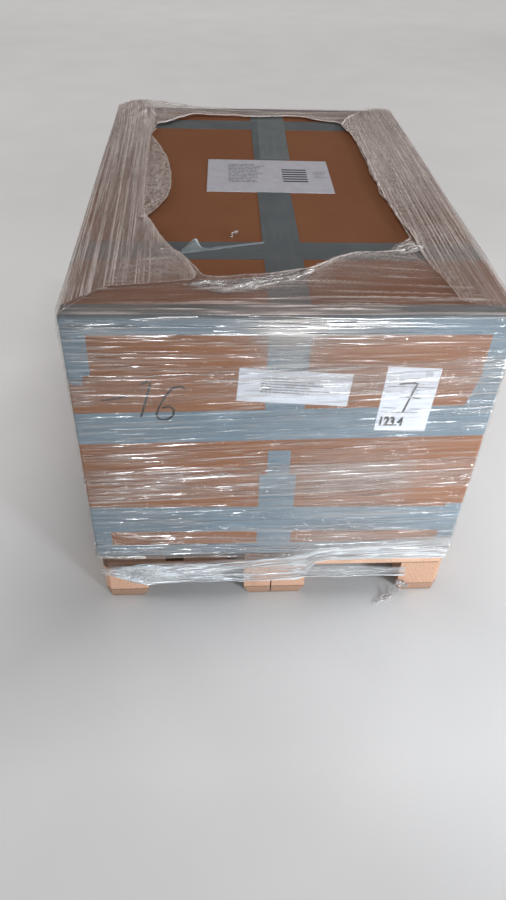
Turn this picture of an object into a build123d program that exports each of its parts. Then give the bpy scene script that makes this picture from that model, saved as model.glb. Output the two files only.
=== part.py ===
from build123d import *
import math
import os

# A tall carton of goods on a four-way block pallet, closed with grey tape and wound with stretch film.
# Millimetres. X is across the pallet, Y along it, Z up. The origin is on the floor under the pallet's
# middle, and the front is the end that faces -Y.

# Pallet
pallet_length = 1200.0
pallet_width = 800.0
wide_board = 145.0
narrow_board = 100.0
board_thickness = 22.0
block_height = 78.0
corner_bevel = 12.0
foot_bevel_width = 13.0
foot_bevel_height = 18.0
split_width = 3.0
split_depth = 60.0
split_height = 46.0
split_offset = -8.0

# Carton, made to cover the pallet
end_overhang = 3.0
side_overhang = 4.0
carton_height = 622.0
carton_shift = -3.0
wall = 7.0
edge_radius = 5.0
flap_gap = 2.0
goods_side_gap = 4.0
goods_head_gap = 12.0

# Grey tape. Strips are laid in layers, and each one covers the strips below it.
tape_width = 76.0
tape_thickness = 0.2
corner_layer = 1
edge_layer = 2
cross_layer = 3
seam_layer = 4
patch_layer = 5
sheet_layer = 6
corner_tape_length = 145.0
lower_corner_tape_length = 156.0
torn_end_overlap = 5.0
torn_end_slant = 4.0
torn_step_height = 24.0
torn_step_width = 14.0
flare_width = 22.0
flare_height = 76.0
cross_tape_drop = 60.0
cross_tape_front_inset = 251.0
cross_tape_back_inset = 158.0
mid_band_height = 373.0
mid_band_rise = 15.0
lower_band_height = 121.0
lower_band_rise = -12.0
seam_tape_offset = 4.0
seam_tape_skew = 0.95
seam_patch_offset = 16.0
seam_patch_skew = 1.8
seam_patch_start = 170.0
bottom_seam_offset = -10.0
bottom_seam_tape_rise = 248.0
torn_tongue_width = 46.0
torn_tongue_length = 66.0

# Paper
paper_sheet_width = 297.0
paper_sheet_depth = 210.0
paper_sheet_turn = -1.2
paper_sheet_place = (2.0, 55.0)
address_label_size = (212.0, 74.0)
address_label_offset = 12.0
address_label_drop = 152.0
address_label_turn = 4.2
weight_label_size = (102.0, 150.0)
weight_label_inset = 173.5
weight_label_drop = 183.0
weight_label_turn = 2.65

# Stretch film
film_thickness = 0.5
film_clearance = 0.1
film_lower_edge = 128.0
hem_width = 8.0
hem_height = 6.0
skirt_gap = 0.3
skirt_neck = 112.0
skirt_lower_edge = 40.0
skirt_sag = 8.0
skirt_foot_cover = 72.0
skirt_foot_rise = 30.0
skirt_left_shoulder = 44.0
skirt_right_shoulder = 54.0
strand_lower_edge = 58.0
strand_upper_edge = 92.0
strand_rope = 5.0
strand_overlap = 12.0
knot_size = 18.0
knot_height = 30.0
tail_width = 14.0
tail_thickness = 2.0
tail_reach = 72.0
tail_turn = 22.0

# How far the film laps in from an edge of the top, and where along that edge it does, from -1 at one
# end to 1 at the other. The four lists run round the open middle.
lap_left = [(119, 0.58), (173, 0.04), (137, -0.28), (150, -0.47)]
lap_front = [(150, -0.38), (136, -0.15), (172, 0.12), (226, 0.32), (238, 0.54)]
lap_right = [(140, -0.40), (146, 0.0), (161, 0.30), (163, 0.58)]
lap_back = [(90, 0.48), (74, 0.1), (84, -0.3), (130, -0.6)]

# Worked out from the sizes above
carton_length = pallet_length + 2 * end_overhang
carton_width = pallet_width + 2 * side_overhang
pallet_height = 3 * board_thickness + block_height
under_block = board_thickness
under_stringer = board_thickness + block_height
under_deck = under_stringer + board_thickness
carton_base = pallet_height + cross_layer * tape_thickness
carton_top = carton_base + carton_height
carton_front = -carton_length / 2
carton_back = carton_length / 2
carton_left = carton_shift - carton_width / 2
carton_right = carton_shift + carton_width / 2
fold = tape_width / 2
reach = 20.0
film_inside = sheet_layer * tape_thickness + film_clearance
pallet_front = -pallet_length / 2
foot_edge = pallet_width / 2 - narrow_board
skirt_step = wide_board / 2
mid_band_middle = carton_base + mid_band_height + mid_band_rise / 2
mid_band_top = mid_band_middle + fold

parts = {}


def span_box(x, y, z):
    # A box from its lowest and highest values along each axis
    centre = Pos((x[0] + x[1]) / 2, (y[0] + y[1]) / 2, (z[0] + z[1]) / 2)
    return centre * Box(x[1] - x[0], y[1] - y[0], z[1] - z[0])


def front_prism(corners):
    # A shape drawn on the front, as x and z, and carried right through the load
    return extrude(Plane.XZ * Polygon(*corners, align=None), carton_length, both=True)


def pallet_outline():
    # The pallet's footprint as a tall prism, with its four corners sawn off
    block = Pos(0, 0, pallet_height / 2) * Box(pallet_width, pallet_length, pallet_height)
    return chamfer(block.edges().filter_by(Axis.Z), corner_bevel)


def board_centres(widths, total):
    # Centres of boards spread over a total width with equal gaps between them
    gap = (total - sum(widths)) / (len(widths) - 1)
    centres = []
    edge = -total / 2
    for width in widths:
        centres.append(edge + width / 2)
        edge += width + gap
    return centres


def bottom_board_section(width):
    # A board seen from its end, with both lower edges planed off so that truck wheels climb it
    half = width / 2
    foot = half - foot_bevel_width
    corners = [
        (-half, board_thickness),
        (-half, foot_bevel_height),
        (-foot, 0),
        (foot, 0),
        (half, foot_bevel_height),
        (half, board_thickness),
    ]
    return Plane.XZ * Polygon(*corners, align=None)


def split_wedge():
    # The drying split in the front of the middle foot: a wedge that closes with its depth
    plan = Polygon(
        (split_offset - split_width / 2, pallet_front - 1),
        (split_offset + split_width / 2, pallet_front - 1),
        (split_offset, pallet_front + split_depth),
        align=None,
    )
    return extrude(plan, split_height)


def make_pallet():
    outline = pallet_outline()
    split = split_wedge()
    deck_widths = [wide_board, narrow_board, wide_board, narrow_board, wide_board]
    for number, x in enumerate(board_centres(deck_widths, pallet_width)):
        half = deck_widths[number] / 2
        board = span_box((x - half, x + half), (-pallet_length / 2, pallet_length / 2), (under_deck, pallet_height))
        parts[f"deck_board_{number + 1}"] = board & outline
    foot_widths = [narrow_board, wide_board, narrow_board]
    columns = list(zip(["left", "middle", "right"], foot_widths, board_centres(foot_widths, pallet_width)))
    rows = list(zip(["front", "middle", "back"], board_centres([wide_board] * 3, pallet_length)))
    for row, y in rows:
        along = (y - wide_board / 2, y + wide_board / 2)
        stringer = span_box((-pallet_width / 2, pallet_width / 2), along, (under_stringer, under_deck))
        parts[f"stringer_board_{row}"] = stringer & outline
        for column, width, x in columns:
            block = span_box((x - width / 2, x + width / 2), along, (under_block, under_stringer))
            parts[f"block_{row}_{column}"] = (block & outline) - split
    for column, width, x in columns:
        section = Pos(x, pallet_length / 2, 0) * bottom_board_section(width)
        parts[f"bottom_board_{column}"] = (extrude(section, pallet_length) & outline) - split


def envelope(grow):
    # The outside of the closed carton, grown evenly, with its creases rounded
    middle = Pos(carton_shift, 0, carton_base + carton_height / 2)
    block = middle * Box(carton_width + 2 * grow, carton_length + 2 * grow, carton_height + 2 * grow)
    return fillet(block.edges(), edge_radius + grow)


def make_carton(shell):
    # Walls and two layers of flaps. The outer flaps come from the long sides and meet on the middle line,
    # and the inner ones, as long, come from the ends and leave a space between them.
    inner_x = (carton_left + wall, carton_right - wall)
    inner_y = (carton_front + wall, carton_back - wall)
    carton = shell - span_box(inner_x, inner_y, (carton_base + 2 * wall, carton_top - 2 * wall))
    end_gap = (carton_front + carton_width / 2, carton_back - carton_width / 2)
    for low in (carton_base + wall, carton_top - 2 * wall):
        if end_gap[1] > end_gap[0]:
            carton -= span_box(inner_x, end_gap, (low, low + wall))
    seam = (carton_shift - flap_gap / 2, carton_shift + flap_gap / 2)
    for low in (carton_base, carton_top - wall):
        carton -= span_box(seam, inner_y, (low, low + wall))
    parts["carton"] = carton
    parts["packed_goods"] = span_box(
        (inner_x[0] + goods_side_gap, inner_x[1] - goods_side_gap),
        (inner_y[0] + goods_side_gap, inner_y[1] - goods_side_gap),
        (carton_base + 2 * wall, carton_top - 2 * wall - goods_head_gap),
    )


def lay(name, layer, region, shell, laid):
    # A strip on the carton: its outside is at its layer's height, and what lies under it is cut out of it
    skin = (envelope(layer * tape_thickness) - shell) & region
    under = [strip for strip in laid if strip.bounding_box().overlaps(skin.bounding_box())]
    strip = skin - under if under else skin
    parts[name] = strip
    laid.append(strip)


def corner_region(side, low, high):
    # Wraps one upright edge: half the tape's width on each of its two faces
    x = (carton_left - reach, carton_left + fold) if "left" in side else (carton_right - fold, carton_right + reach)
    y = (carton_front - reach, carton_front + fold) if "front" in side else (carton_back - fold, carton_back + reach)
    return span_box(x, y, (low, high))


def torn_left_end():
    # The upper left corner strip was torn off by hand: a step, then a short tongue
    out = carton_left - reach
    inner = carton_left + fold + torn_end_overlap
    tongue = inner - torn_step_width
    low = carton_top - corner_tape_length
    step = low + torn_step_height
    corners = [
        (out, carton_top),
        (inner, carton_top),
        (inner, step),
        (tongue, step - torn_end_slant),
        (tongue - torn_end_slant, low),
        (out, low + torn_end_slant),
    ]
    return front_prism(corners)


def flared_right_end():
    # The upper right corner strip spreads on the front as it runs down under the middle band
    out = carton_right + reach
    inner = carton_right - fold
    corners = [
        (out, carton_top),
        (inner - torn_end_slant, carton_top),
        (inner - torn_end_slant, mid_band_top + flare_height),
        (inner - flare_width, mid_band_top),
        (inner - flare_width, mid_band_middle),
        (out, mid_band_middle),
    ]
    return front_prism(corners)


def band_region(height, rise):
    # A level ring of tape round all four sides, tipped so that it climbs from left to right
    tip = math.degrees(math.atan2(rise, carton_width))
    slab = Box(carton_width + 2 * reach, carton_length + 2 * reach, tape_width)
    return Pos(carton_shift, 0, carton_base + height + rise / 2) * Rot(0, -tip, 0) * slab


def seam_region(offset, skew, along, low, high):
    # A strip along the pallet, turned a little about its middle
    length = along[1] - along[0]
    strip = Pos(0, (along[0] + along[1]) / 2, (low + high) / 2) * Box(tape_width, length, high - low)
    return Pos(offset, 0, 0) * Rot(0, 0, -skew) * strip


def make_tapes(shell):
    laid = []
    whole_x = (carton_left - reach, carton_right + reach)
    whole_y = (carton_front - reach, carton_back + reach)
    ends = {"front": (carton_front - reach, carton_front + fold), "back": (carton_back - fold, carton_back + reach)}
    # The corner strips stop at the top and bottom creases. The strips along the two end edges cover those.
    shoulder = carton_top - edge_radius
    front_end = span_box(whole_x, ends["front"], (0, shoulder))
    for side in ("front_left", "front_right", "back_left", "back_right"):
        upper = corner_region(side, carton_top - corner_tape_length, shoulder)
        if side == "front_left":
            upper = torn_left_end() & front_end
        if side == "front_right":
            upper = flared_right_end() & front_end
        lower = corner_region(side, carton_base + edge_radius, carton_base + lower_corner_tape_length)
        lay(f"corner_tape_upper_{side}", corner_layer, upper, shell, laid)
        lay(f"corner_tape_lower_{side}", corner_layer, lower, shell, laid)
    top = (carton_top - fold, carton_top + reach)
    bottom = (carton_base - reach, carton_base + fold)
    for level, height in (("top", top), ("bottom", bottom)):
        for end, y in ends.items():
            lay(f"{level}_edge_tape_{end}", edge_layer, span_box(whole_x, y, height), shell, laid)
    lay("mid_band_tape", edge_layer, band_region(mid_band_height, mid_band_rise), shell, laid)
    lay("lower_band_tape", edge_layer, band_region(lower_band_height, lower_band_rise), shell, laid)
    over_sides = (carton_top - cross_tape_drop, carton_top + reach)
    for end, y in (("front", carton_front + cross_tape_front_inset), ("back", carton_back - cross_tape_back_inset)):
        across = span_box(whole_x, (y - fold, y + fold), over_sides)
        lay(f"cross_tape_{end}", cross_layer, across, shell, laid)
    up = carton_base + bottom_seam_tape_rise
    closing = seam_region(bottom_seam_offset, 0, whole_y, carton_base - reach, up)
    tongue_x = (bottom_seam_offset - torn_tongue_width / 2, bottom_seam_offset + torn_tongue_width / 2)
    closing += span_box(tongue_x, ends["front"], (up, up + torn_tongue_length))
    lay("bottom_seam_tape", cross_layer, closing, shell, laid)
    along_top = seam_region(seam_tape_offset, seam_tape_skew, whole_y, mid_band_top, carton_top + reach)
    lay("top_seam_tape", seam_layer, along_top, shell, laid)
    patch_y = (seam_patch_start, carton_back + reach)
    patch_z = (carton_top - cross_tape_drop, carton_top + reach)
    patch = seam_region(seam_patch_offset, seam_patch_skew, patch_y, *patch_z)
    lay("seam_patch_tape", patch_layer, patch, shell, laid)
    return laid


def make_paper(shell, laid):
    x, y = paper_sheet_place
    sheet = Box(paper_sheet_width, paper_sheet_depth, 2 * reach)
    sheet = Pos(x + carton_shift, y, carton_top) * Rot(0, 0, paper_sheet_turn) * sheet
    lay("top_sheet", sheet_layer, sheet, shell, laid)
    address_centre = (carton_shift + address_label_offset, carton_top - address_label_drop)
    weight_centre = (carton_right - weight_label_inset, carton_top - weight_label_drop)
    labels = [
        ("address_label", address_label_size, address_centre, address_label_turn),
        ("weight_label", weight_label_size, weight_centre, weight_label_turn),
    ]
    for name, size, (x, z), turn in labels:
        block = Pos(x, carton_front, z) * Rot(0, turn, 0) * Box(size[0], 2 * reach, size[1])
        lay(name, patch_layer, block, shell, laid)


def hem_outline(further):
    # The open middle of the top, drawn in by a further amount
    half_width = carton_width / 2
    half_length = carton_length / 2
    points = [(carton_left + lap + further, share * half_length) for lap, share in lap_left]
    points += [(carton_shift + share * half_width, carton_front + lap + further) for lap, share in lap_front]
    points += [(carton_right - lap - further, share * half_length) for lap, share in lap_right]
    points += [(carton_shift + share * half_width, carton_back - lap - further) for lap, share in lap_back]
    return make_face(Spline(*points, periodic=True))


def hood(grow, low):
    # The carton's outside without its bottom, grown evenly and drawn down to a level below it
    out_x = (carton_left - grow, carton_right + grow)
    out_y = (carton_front - grow, carton_back + grow)
    block = span_box(out_x, out_y, (low, carton_top + grow))
    creases = block.edges().filter_by(Axis.Z) + block.faces().sort_by(Axis.Z)[-1].edges()
    return fillet(creases, edge_radius + grow)


def make_wrap_film():
    # One skin over the carton and its tape, open underneath and in the middle of the top, where the edge
    # of the film has drawn together into a thick roped hem
    skin = hood(film_inside + film_thickness, film_lower_edge) - hood(film_inside, film_lower_edge - reach)
    pad = extrude(Pos(0, 0, carton_top + film_inside) * hem_outline(-hem_width), hem_height)
    hole = extrude(Pos(0, 0, carton_top - reach) * hem_outline(0), 2 * reach)
    parts["wrap_film"] = (skin + pad) - hole


def film_section(low, high):
    # The loose film in front of the pallet, seen from its end: it leaves the turns on the carton and
    # comes in against the pallet's front
    out = carton_front - film_inside
    near = pallet_front - skirt_gap
    path = [(out, high), (out, film_lower_edge), (near, skirt_neck), (near, low)]
    outer = [(y - film_thickness, z) for y, z in path]
    return Plane.YZ * Polygon(*path, *reversed(outer), align=None)


def make_skirt():
    # It narrows on the left foot, sags across the left pocket and ends at the right edge of the middle foot
    sheet = extrude(film_section(skirt_lower_edge, film_lower_edge), pallet_width / 2, both=True)
    left_end = -foot_edge - skirt_foot_cover
    corners = [
        (left_end, skirt_neck),
        (left_end + skirt_sag, skirt_lower_edge + skirt_foot_rise),
        (-foot_edge - skirt_sag, skirt_lower_edge + skirt_sag / 4),
        (-foot_edge / 2, skirt_lower_edge),
        (skirt_step - skirt_sag, skirt_lower_edge + skirt_sag),
        (skirt_step, skirt_neck),
        (skirt_step + skirt_right_shoulder, film_lower_edge),
        (-foot_edge + skirt_left_shoulder, film_lower_edge),
        (-foot_edge + skirt_left_shoulder / 2, skirt_neck),
    ]
    parts["film_skirt"] = sheet & front_prism(corners)


def make_strand():
    # A narrow turn across the right pocket, its lower edge rolled into a rope
    near = pallet_front - skirt_gap
    x = (skirt_step + skirt_gap, foot_edge + strand_overlap)
    band = span_box(x, (near - film_thickness, near), (strand_lower_edge, strand_upper_edge))
    rope_end = Plane(origin=(x[0], near - strand_rope / 2, strand_lower_edge), x_dir=(0, 1, 0), z_dir=(1, 0, 0))
    parts["film_strand"] = band + extrude(rope_end * Circle(strand_rope / 2), x[1] - x[0])


def make_tail():
    # The end of the film, knotted at the right foot, with its loose end down on the floor in front
    knot_place = Pos(foot_edge + strand_overlap, pallet_front - skirt_gap - knot_size / 2, 0)
    lump = Box(knot_size, knot_size, knot_size)
    lump = Pos(0, 0, knot_height) * chamfer(lump.edges(), knot_size / 4)
    path = [
        (0, knot_height),
        (-tail_reach / 5, knot_height / 2),
        (-tail_reach / 2, tail_thickness),
        (-tail_reach, tail_thickness),
    ]
    under = [(x, z - tail_thickness) for x, z in path]
    section = Plane.XZ * Polygon(*path, *reversed(under), align=None)
    strip = Rot(0, 0, tail_turn) * extrude(section, tail_width / 2, both=True)
    parts["film_tail"] = knot_place * (lump + strip)


def write_parts():
    os.makedirs("parts", exist_ok=True)
    for name, shape in parts.items():
        export_step(shape, f"parts/{name}.step")


carton_shell = envelope(0)
make_pallet()
make_carton(carton_shell)
laid_tapes = make_tapes(carton_shell)
make_paper(carton_shell, laid_tapes)
make_wrap_film()
make_skirt()
make_strand()
make_tail()
write_parts()
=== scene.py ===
import math
import bmesh
import bpy
import numpy as np
from mathutils import Matrix, Vector


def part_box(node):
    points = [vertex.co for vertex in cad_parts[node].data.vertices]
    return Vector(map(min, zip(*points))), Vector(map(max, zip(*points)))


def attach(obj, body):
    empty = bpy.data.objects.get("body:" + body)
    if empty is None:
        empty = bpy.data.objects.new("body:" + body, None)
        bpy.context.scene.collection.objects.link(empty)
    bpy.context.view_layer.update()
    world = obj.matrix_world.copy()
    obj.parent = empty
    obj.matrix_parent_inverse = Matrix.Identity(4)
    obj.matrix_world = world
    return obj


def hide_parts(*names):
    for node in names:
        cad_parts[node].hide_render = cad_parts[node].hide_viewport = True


# A carton on a pallet, taped in grey and wound with stretch film. Metres, +Z up, the front faces -Y.
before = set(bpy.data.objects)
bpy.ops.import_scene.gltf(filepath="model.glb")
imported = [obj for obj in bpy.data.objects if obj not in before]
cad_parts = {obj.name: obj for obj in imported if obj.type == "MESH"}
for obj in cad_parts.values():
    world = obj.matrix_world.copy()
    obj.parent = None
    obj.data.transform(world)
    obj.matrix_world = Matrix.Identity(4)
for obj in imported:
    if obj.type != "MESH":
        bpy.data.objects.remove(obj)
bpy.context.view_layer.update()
cartonLow, cartonHigh = (np.array(corner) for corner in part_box("carton"))
cartonTop = cartonHigh[2]
cartonBase = cartonLow[2]
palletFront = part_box("stringer_board_front")[0][1]
creaseRadius = 0.005
milli = 0.001


def colour(red, green, blue):
    # From the 0 to 255 of a paint chart to the linear light that the shader wants
    share = np.array([red, green, blue]) / 255
    linear = np.where(share <= 0.04045, share / 12.92, ((share + 0.055) / 1.055) ** 2.4)
    return (*[float(value) for value in linear], 1.0)


def eased(value, low, high):
    # 0 below low, 1 above high, a smooth step between
    share = np.clip((value - low) / (high - low), 0, 1)
    return share * share * (3 - 2 * share)


def between(value, start, full, fading, gone):
    # Rises smoothly from 0 at start to 1 at full, and falls from 1 at fading to 0 at gone
    return eased(value, start, full) * (1 - eased(value, fading, gone))


def bell(value, middle, reach):
    # 1 at the middle, falling away smoothly on both sides, to about a third at its reach
    return np.exp(-(((value - middle) / reach) ** 2))


def softNoise(u, v, seed, around=256):
    # Random numbers on a square lattice, blended between its points by smooth steps, from -1 to 1.
    # It comes back to its start after a whole number of steps in u.
    table = np.random.default_rng(seed).uniform(-1, 1, (around, 256))
    u, v = np.broadcast_arrays(u, v)
    column, row = np.floor(u).astype(int), np.floor(v).astype(int)
    right, up = eased(u - column, 0, 1), eased(v - row, 0, 1)
    near, far = column % around, (column + 1) % around
    low, high = row % 256, (row + 1) % 256
    bottom = table[near, low] * (1 - right) + table[far, low] * right
    top = table[near, high] * (1 - right) + table[far, high] * right
    return bottom * (1 - up) + top * up


def creases(u, v, seed, thin, around=256):
    # Sharp ridges that run where the noise crosses zero, from 0 between them to 1 on their crests
    return np.clip(1 - np.abs(softNoise(u, v, seed, around)) / thin, 0, 1) ** 2


def walkedAlong(points):
    # How far each point of a line lies from its start, along the line
    steps = np.linalg.norm(np.diff(points, axis=0), axis=1)
    return np.concatenate([[0], np.cumsum(steps)])


def pointsAt(points, walk, places):
    # The line through points, whose distances are walk, read at other places along it
    return np.stack([np.interp(places, walk, column) for column in points.T], axis=1)


def smoothed(points, reach, **ends):
    # Each point averaged with its neighbours up to reach away, by a bell-shaped window
    window = np.hanning(2 * reach + 1)
    padded = np.pad(points, ((reach, reach), (0, 0)), **ends)
    return np.stack([np.convolve(column, window / window.sum(), "valid") for column in padded.T], axis=1)


oddEnds = {"mode": "reflect", "reflect_type": "odd"}      # the line is carried on past its ends as it came


def addObject(name, data):
    # A new object in the scene that holds this mesh, light, camera or lettering
    made = bpy.data.objects.new(name, data)
    bpy.context.scene.collection.objects.link(made)
    return made


def raised(plane, height):
    # Points with the x and y of a plane and a height each
    return np.concatenate([plane, height[..., None]], axis=-1)


def gridPiece(name, points, closed=False, across=None, along=None, flip=False, **shares):
    # A mesh of four-sided faces over a grid of points: rows, columns, xyz. closed joins the last column to
    # the first. along and across go into its UV map in metres, the shares into attributes from 0 to 1.
    rows, columns = points.shape[:2]
    number = np.arange(rows * columns).reshape(rows, columns)
    left = number if closed else number[:, :-1]
    right = np.roll(number, -1, axis=1) if closed else number[:, 1:]
    faces = np.stack([left[:-1], right[:-1], right[1:], left[1:]], axis=-1).reshape(-1, 4)
    if flip:
        faces = faces[:, ::-1]
    mesh = bpy.data.meshes.new(name)
    mesh.vertices.add(rows * columns)
    mesh.vertices.foreach_set("co", points.astype(np.float32).ravel())
    mesh.loops.add(faces.size)
    mesh.loops.foreach_set("vertex_index", faces.astype(np.int32).ravel())
    mesh.polygons.add(len(faces))
    mesh.polygons.foreach_set("loop_start", np.arange(0, faces.size, 4, dtype=np.int32))
    mesh.polygons.foreach_set("use_smooth", np.ones(len(faces), dtype=bool))
    if along is not None:
        u, v = (np.broadcast_to(values, (rows, columns)) for values in (along, across))
        pastEnd = 2 * u[:, -1:] - u[:, -2:-1]
        uRight = np.concatenate([u[:, 1:], pastEnd], axis=1) if closed else u[:, 1:]
        uLeft = u if closed else u[:, :-1]
        vRight = np.roll(v, -1, axis=1) if closed else v[:, 1:]
        vLeft = v if closed else v[:, :-1]
        us = np.stack([uLeft[:-1], uRight[:-1], uRight[1:], uLeft[1:]], axis=-1).reshape(-1, 4)
        vs = np.stack([vLeft[:-1], vRight[:-1], vRight[1:], vLeft[1:]], axis=-1).reshape(-1, 4)
        if flip:
            us, vs = us[:, ::-1], vs[:, ::-1]
        layer = mesh.uv_layers.new(name="Pull")
        layer.data.foreach_set("uv", np.stack([us, vs], axis=-1).astype(np.float32).ravel())
    for title, share in shares.items():
        data = mesh.attributes.new(title, "FLOAT", "POINT").data
        spread = np.broadcast_to(np.clip(share, 0, 1), (rows, columns))
        data.foreach_set("value", spread.astype(np.float32).ravel())
    mesh.update(calc_edges=True)
    mesh.validate()
    return addObject(name, mesh)


def weldTogether(piece):
    # Points in one place become one, and the faces between them go
    welded = bmesh.new()
    welded.from_mesh(piece.data)
    bmesh.ops.remove_doubles(welded, verts=welded.verts, dist=2e-6)
    welded.to_mesh(piece.data)
    welded.free()


def finishPiece(piece, material, slot, *replaced, second=None, firstFaces=0):
    # Gives a piece its material and its body, and hides the nodes that it replaces. slot is not used.
    # second, where there is one, goes on the faces after the first ones.
    piece.data.materials.clear()
    piece.data.materials.append(material)
    if second is not None:
        piece.data.materials.append(second)
        index = (np.arange(len(piece.data.polygons)) >= firstFaces).astype(np.int32)
        piece.data.polygons.foreach_set("material_index", index)
    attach(piece, "root")
    if replaced:
        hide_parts(*replaced)


# Shader building blocks


def newTree(name):
    # A material with an empty node tree
    material = bpy.data.materials.new(name)
    material.use_nodes = True
    material.node_tree.nodes.clear()
    return material, material.node_tree


def addNode(tree, kind, inputs=None, **settings):
    # inputs by name or number, each a value or another node's output
    made = tree.nodes.new(kind)
    for key, value in settings.items():
        setattr(made, key, value)
    for key, value in (inputs or {}).items():
        if isinstance(value, bpy.types.NodeSocket):
            tree.links.new(value, made.inputs[key])
        else:
            made.inputs[key].default_value = value
    return made


def objectPlace(tree, scale=(1, 1, 1), shift=(0, 0, 0)):
    # The place on the piece in metres, scaled and then shifted
    place = addNode(tree, "ShaderNodeTexCoord").outputs["Object"]
    return addNode(tree, "ShaderNodeMapping", {"Vector": place, "Scale": scale, "Location": shift}).outputs[0]


def noise(tree, place, scale, detail, rough):
    # Cloudy noise about a middle of 0.5, in as many layers as detail says
    inputs = {"Vector": place, "Scale": scale, "Detail": detail, "Roughness": rough}
    return addNode(tree, "ShaderNodeTexNoise", inputs).outputs[0]


def objectAxes(tree, output="Object"):
    # X, Y and Z of the place on the piece, or of its normal
    source = addNode(tree, "ShaderNodeTexCoord").outputs[output]
    return addNode(tree, "ShaderNodeSeparateXYZ", {0: source}).outputs


def ramp(tree, value, low, high, start=0.0, end=1.0):
    # Carries low to high over to start to end, clamped
    inputs = {0: value, 1: low, 2: high, 3: start, 4: end}
    return addNode(tree, "ShaderNodeMapRange", inputs, clamp=True).outputs[0]


def patches(tree, place, scale, detail, rough, low, high, start=0.0, end=1.0):
    # Noise that starts to show where it passes low and is full from high on
    return ramp(tree, noise(tree, place, scale, detail, rough), low, high, start, end)


def sums(tree, operation, first, second=0.0):
    # One sum on one or two numbers
    return addNode(tree, "ShaderNodeMath", {0: first, 1: second}, operation=operation).outputs[0]


def blendColours(tree, share, first, second, way="MIX"):
    # The second colour laid on the first by share, mixed or in another way
    made = addNode(tree, "ShaderNodeMix", data_type="RGBA", blend_type=way)
    for socket, value in ((made.inputs[0], share), (made.inputs[6], first), (made.inputs[7], second)):
        if isinstance(value, bpy.types.NodeSocket):
            tree.links.new(value, socket)
        else:
            socket.default_value = value
    return made.outputs[2]


def bump(tree, height, strength, distance, under=None):
    # Leans the surface as a height pattern would, on top of another lean where one is given
    inputs = {"Height": height, "Strength": strength, "Distance": distance}
    if under is not None:
        inputs["Normal"] = under
    return addNode(tree, "ShaderNodeBump", inputs).outputs[0]


def surface(tree, **inputs):
    # The one Principled surface of a material, its inputs by name with _ for a space
    names = {key.replace("_", " "): value for key, value in inputs.items()}
    shader = addNode(tree, "ShaderNodeBsdfPrincipled", names)
    addNode(tree, "ShaderNodeOutputMaterial", {"Surface": shader.outputs[0]})


# Cardboard: kraft liner. Two sizes of mottling and short fibres change its tone, and faint ribs show where
# the flutes are glued behind it.

cardboardFacts = {
    "liner": colour(162, 108, 74),
    "dark": colour(141, 91, 60),
    "pale": colour(181, 127, 92),
    "flutePitch": 0.0075,
}


def cardboardMaterial():
    material, tree = newTree("kraftLiner")
    place = objectPlace(tree)
    broad = patches(tree, place, 3.5, 4, 0.6, 0.35, 0.65, 0, 0.5)
    fine = patches(tree, place, 420, 4, 0.65, 0.3, 0.7)
    fibres = patches(tree, objectPlace(tree, (90, 900, 900)), 1.0, 3, 0.6, 0.45, 0.75, 0, 0.22)
    tone = blendColours(tree, broad, cardboardFacts["liner"], cardboardFacts["dark"])
    tone = blendColours(tree, sums(tree, "MULTIPLY", fine, 0.25), tone, cardboardFacts["dark"])
    tone = blendColours(tree, fibres, tone, cardboardFacts["pale"])
    # scuffs where it was dragged
    scuffs = patches(tree, objectPlace(tree, (6, 30, 30)), 1.0, 6, 0.7, 0.64, 0.76, 0, 0.35)
    tone = blendColours(tree, scuffs, tone, cardboardFacts["pale"])
    turns = sums(tree, "MULTIPLY", objectAxes(tree)["X"], 2 * math.pi / cardboardFacts["flutePitch"])
    flutes = sums(tree, "SINE", turns)
    relief = bump(tree, flutes, 0.05, 0.0004)
    relief = bump(tree, noise(tree, place, 900, 3, 0.6), 0.22, 0.0003, relief)
    shine = ramp(tree, fine, 0, 1, 0.62, 0.8)
    surface(tree, Base_Color=tone, Roughness=shine, Normal=relief, Specular_IOR_Level=0.2)
    return material


# Grey cloth tape: a plastic face over a woven scrim. Threads cross every millimetre or so, the face has
# long faint pull marks, and rubbed spots are paler.

tapeFacts = {
    "face": colour(122, 128, 129),
    "rubbed": colour(146, 151, 151),
    "dark": colour(104, 111, 112),
    "thread": 0.0013,
    "cool": (1.12, 1.33, 1.52, 1),   # painted light: on the sides of the carton it is lighter and bluer than on the top
    "glued": (3.2, 3.2, 3.2, 1),     # how much lighter the glued side is
    "newer": (1.35, 1.35, 1.31, 1),  # how much lighter the second strip on the top is
}


def tapeMaterial(name, lengthAxis, lighter=(1, 1, 1, 1)):
    material, tree = newTree(name)
    stretch = [260, 260, 260]
    stretch[lengthAxis] = 8
    pulls = noise(tree, objectPlace(tree, tuple(stretch)), 1.0, 4, 0.6)
    broad = patches(tree, objectPlace(tree), 14, 4, 0.6, 0.35, 0.68, 0, 0.6)
    tone = blendColours(tree, broad, tapeFacts["face"], tapeFacts["dark"])
    tone = blendColours(tree, ramp(tree, pulls, 0.5, 0.75, 0, 0.4), tone, tapeFacts["rubbed"])
    tone = blendColours(tree, 1.0, tone, lighter, "MULTIPLY")
    axes = objectAxes(tree)
    # painted light: below the top the tape is drawn lighter and bluer, as it is lit on the sides
    beside = ramp(tree, axes["Z"], cartonTop - 0.012, cartonTop - 0.002, 1.0, 0.0)
    tone = blendColours(tree, beside, tone, tapeFacts["cool"], "MULTIPLY")
    weave = None
    for axis in "XYZ":
        turns = sums(tree, "MULTIPLY", axes[axis], 2 * math.pi / tapeFacts["thread"])
        wave = sums(tree, "SINE", turns)
        weave = wave if weave is None else sums(tree, "MAXIMUM", weave, wave)
    relief = bump(tree, weave, 0.18, 0.00012)
    relief = bump(tree, pulls, 0.35, 0.0006, relief)
    relief = bump(tree, noise(tree, objectPlace(tree), 38, 3, 0.5), 0.4, 0.002, relief)
    surface(
        tree,
        Base_Color=tone,
        Roughness=ramp(tree, pulls, 0.3, 0.7, 0.34, 0.5),
        Normal=relief,
        Specular_IOR_Level=0.35,
    )
    return material


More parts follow.
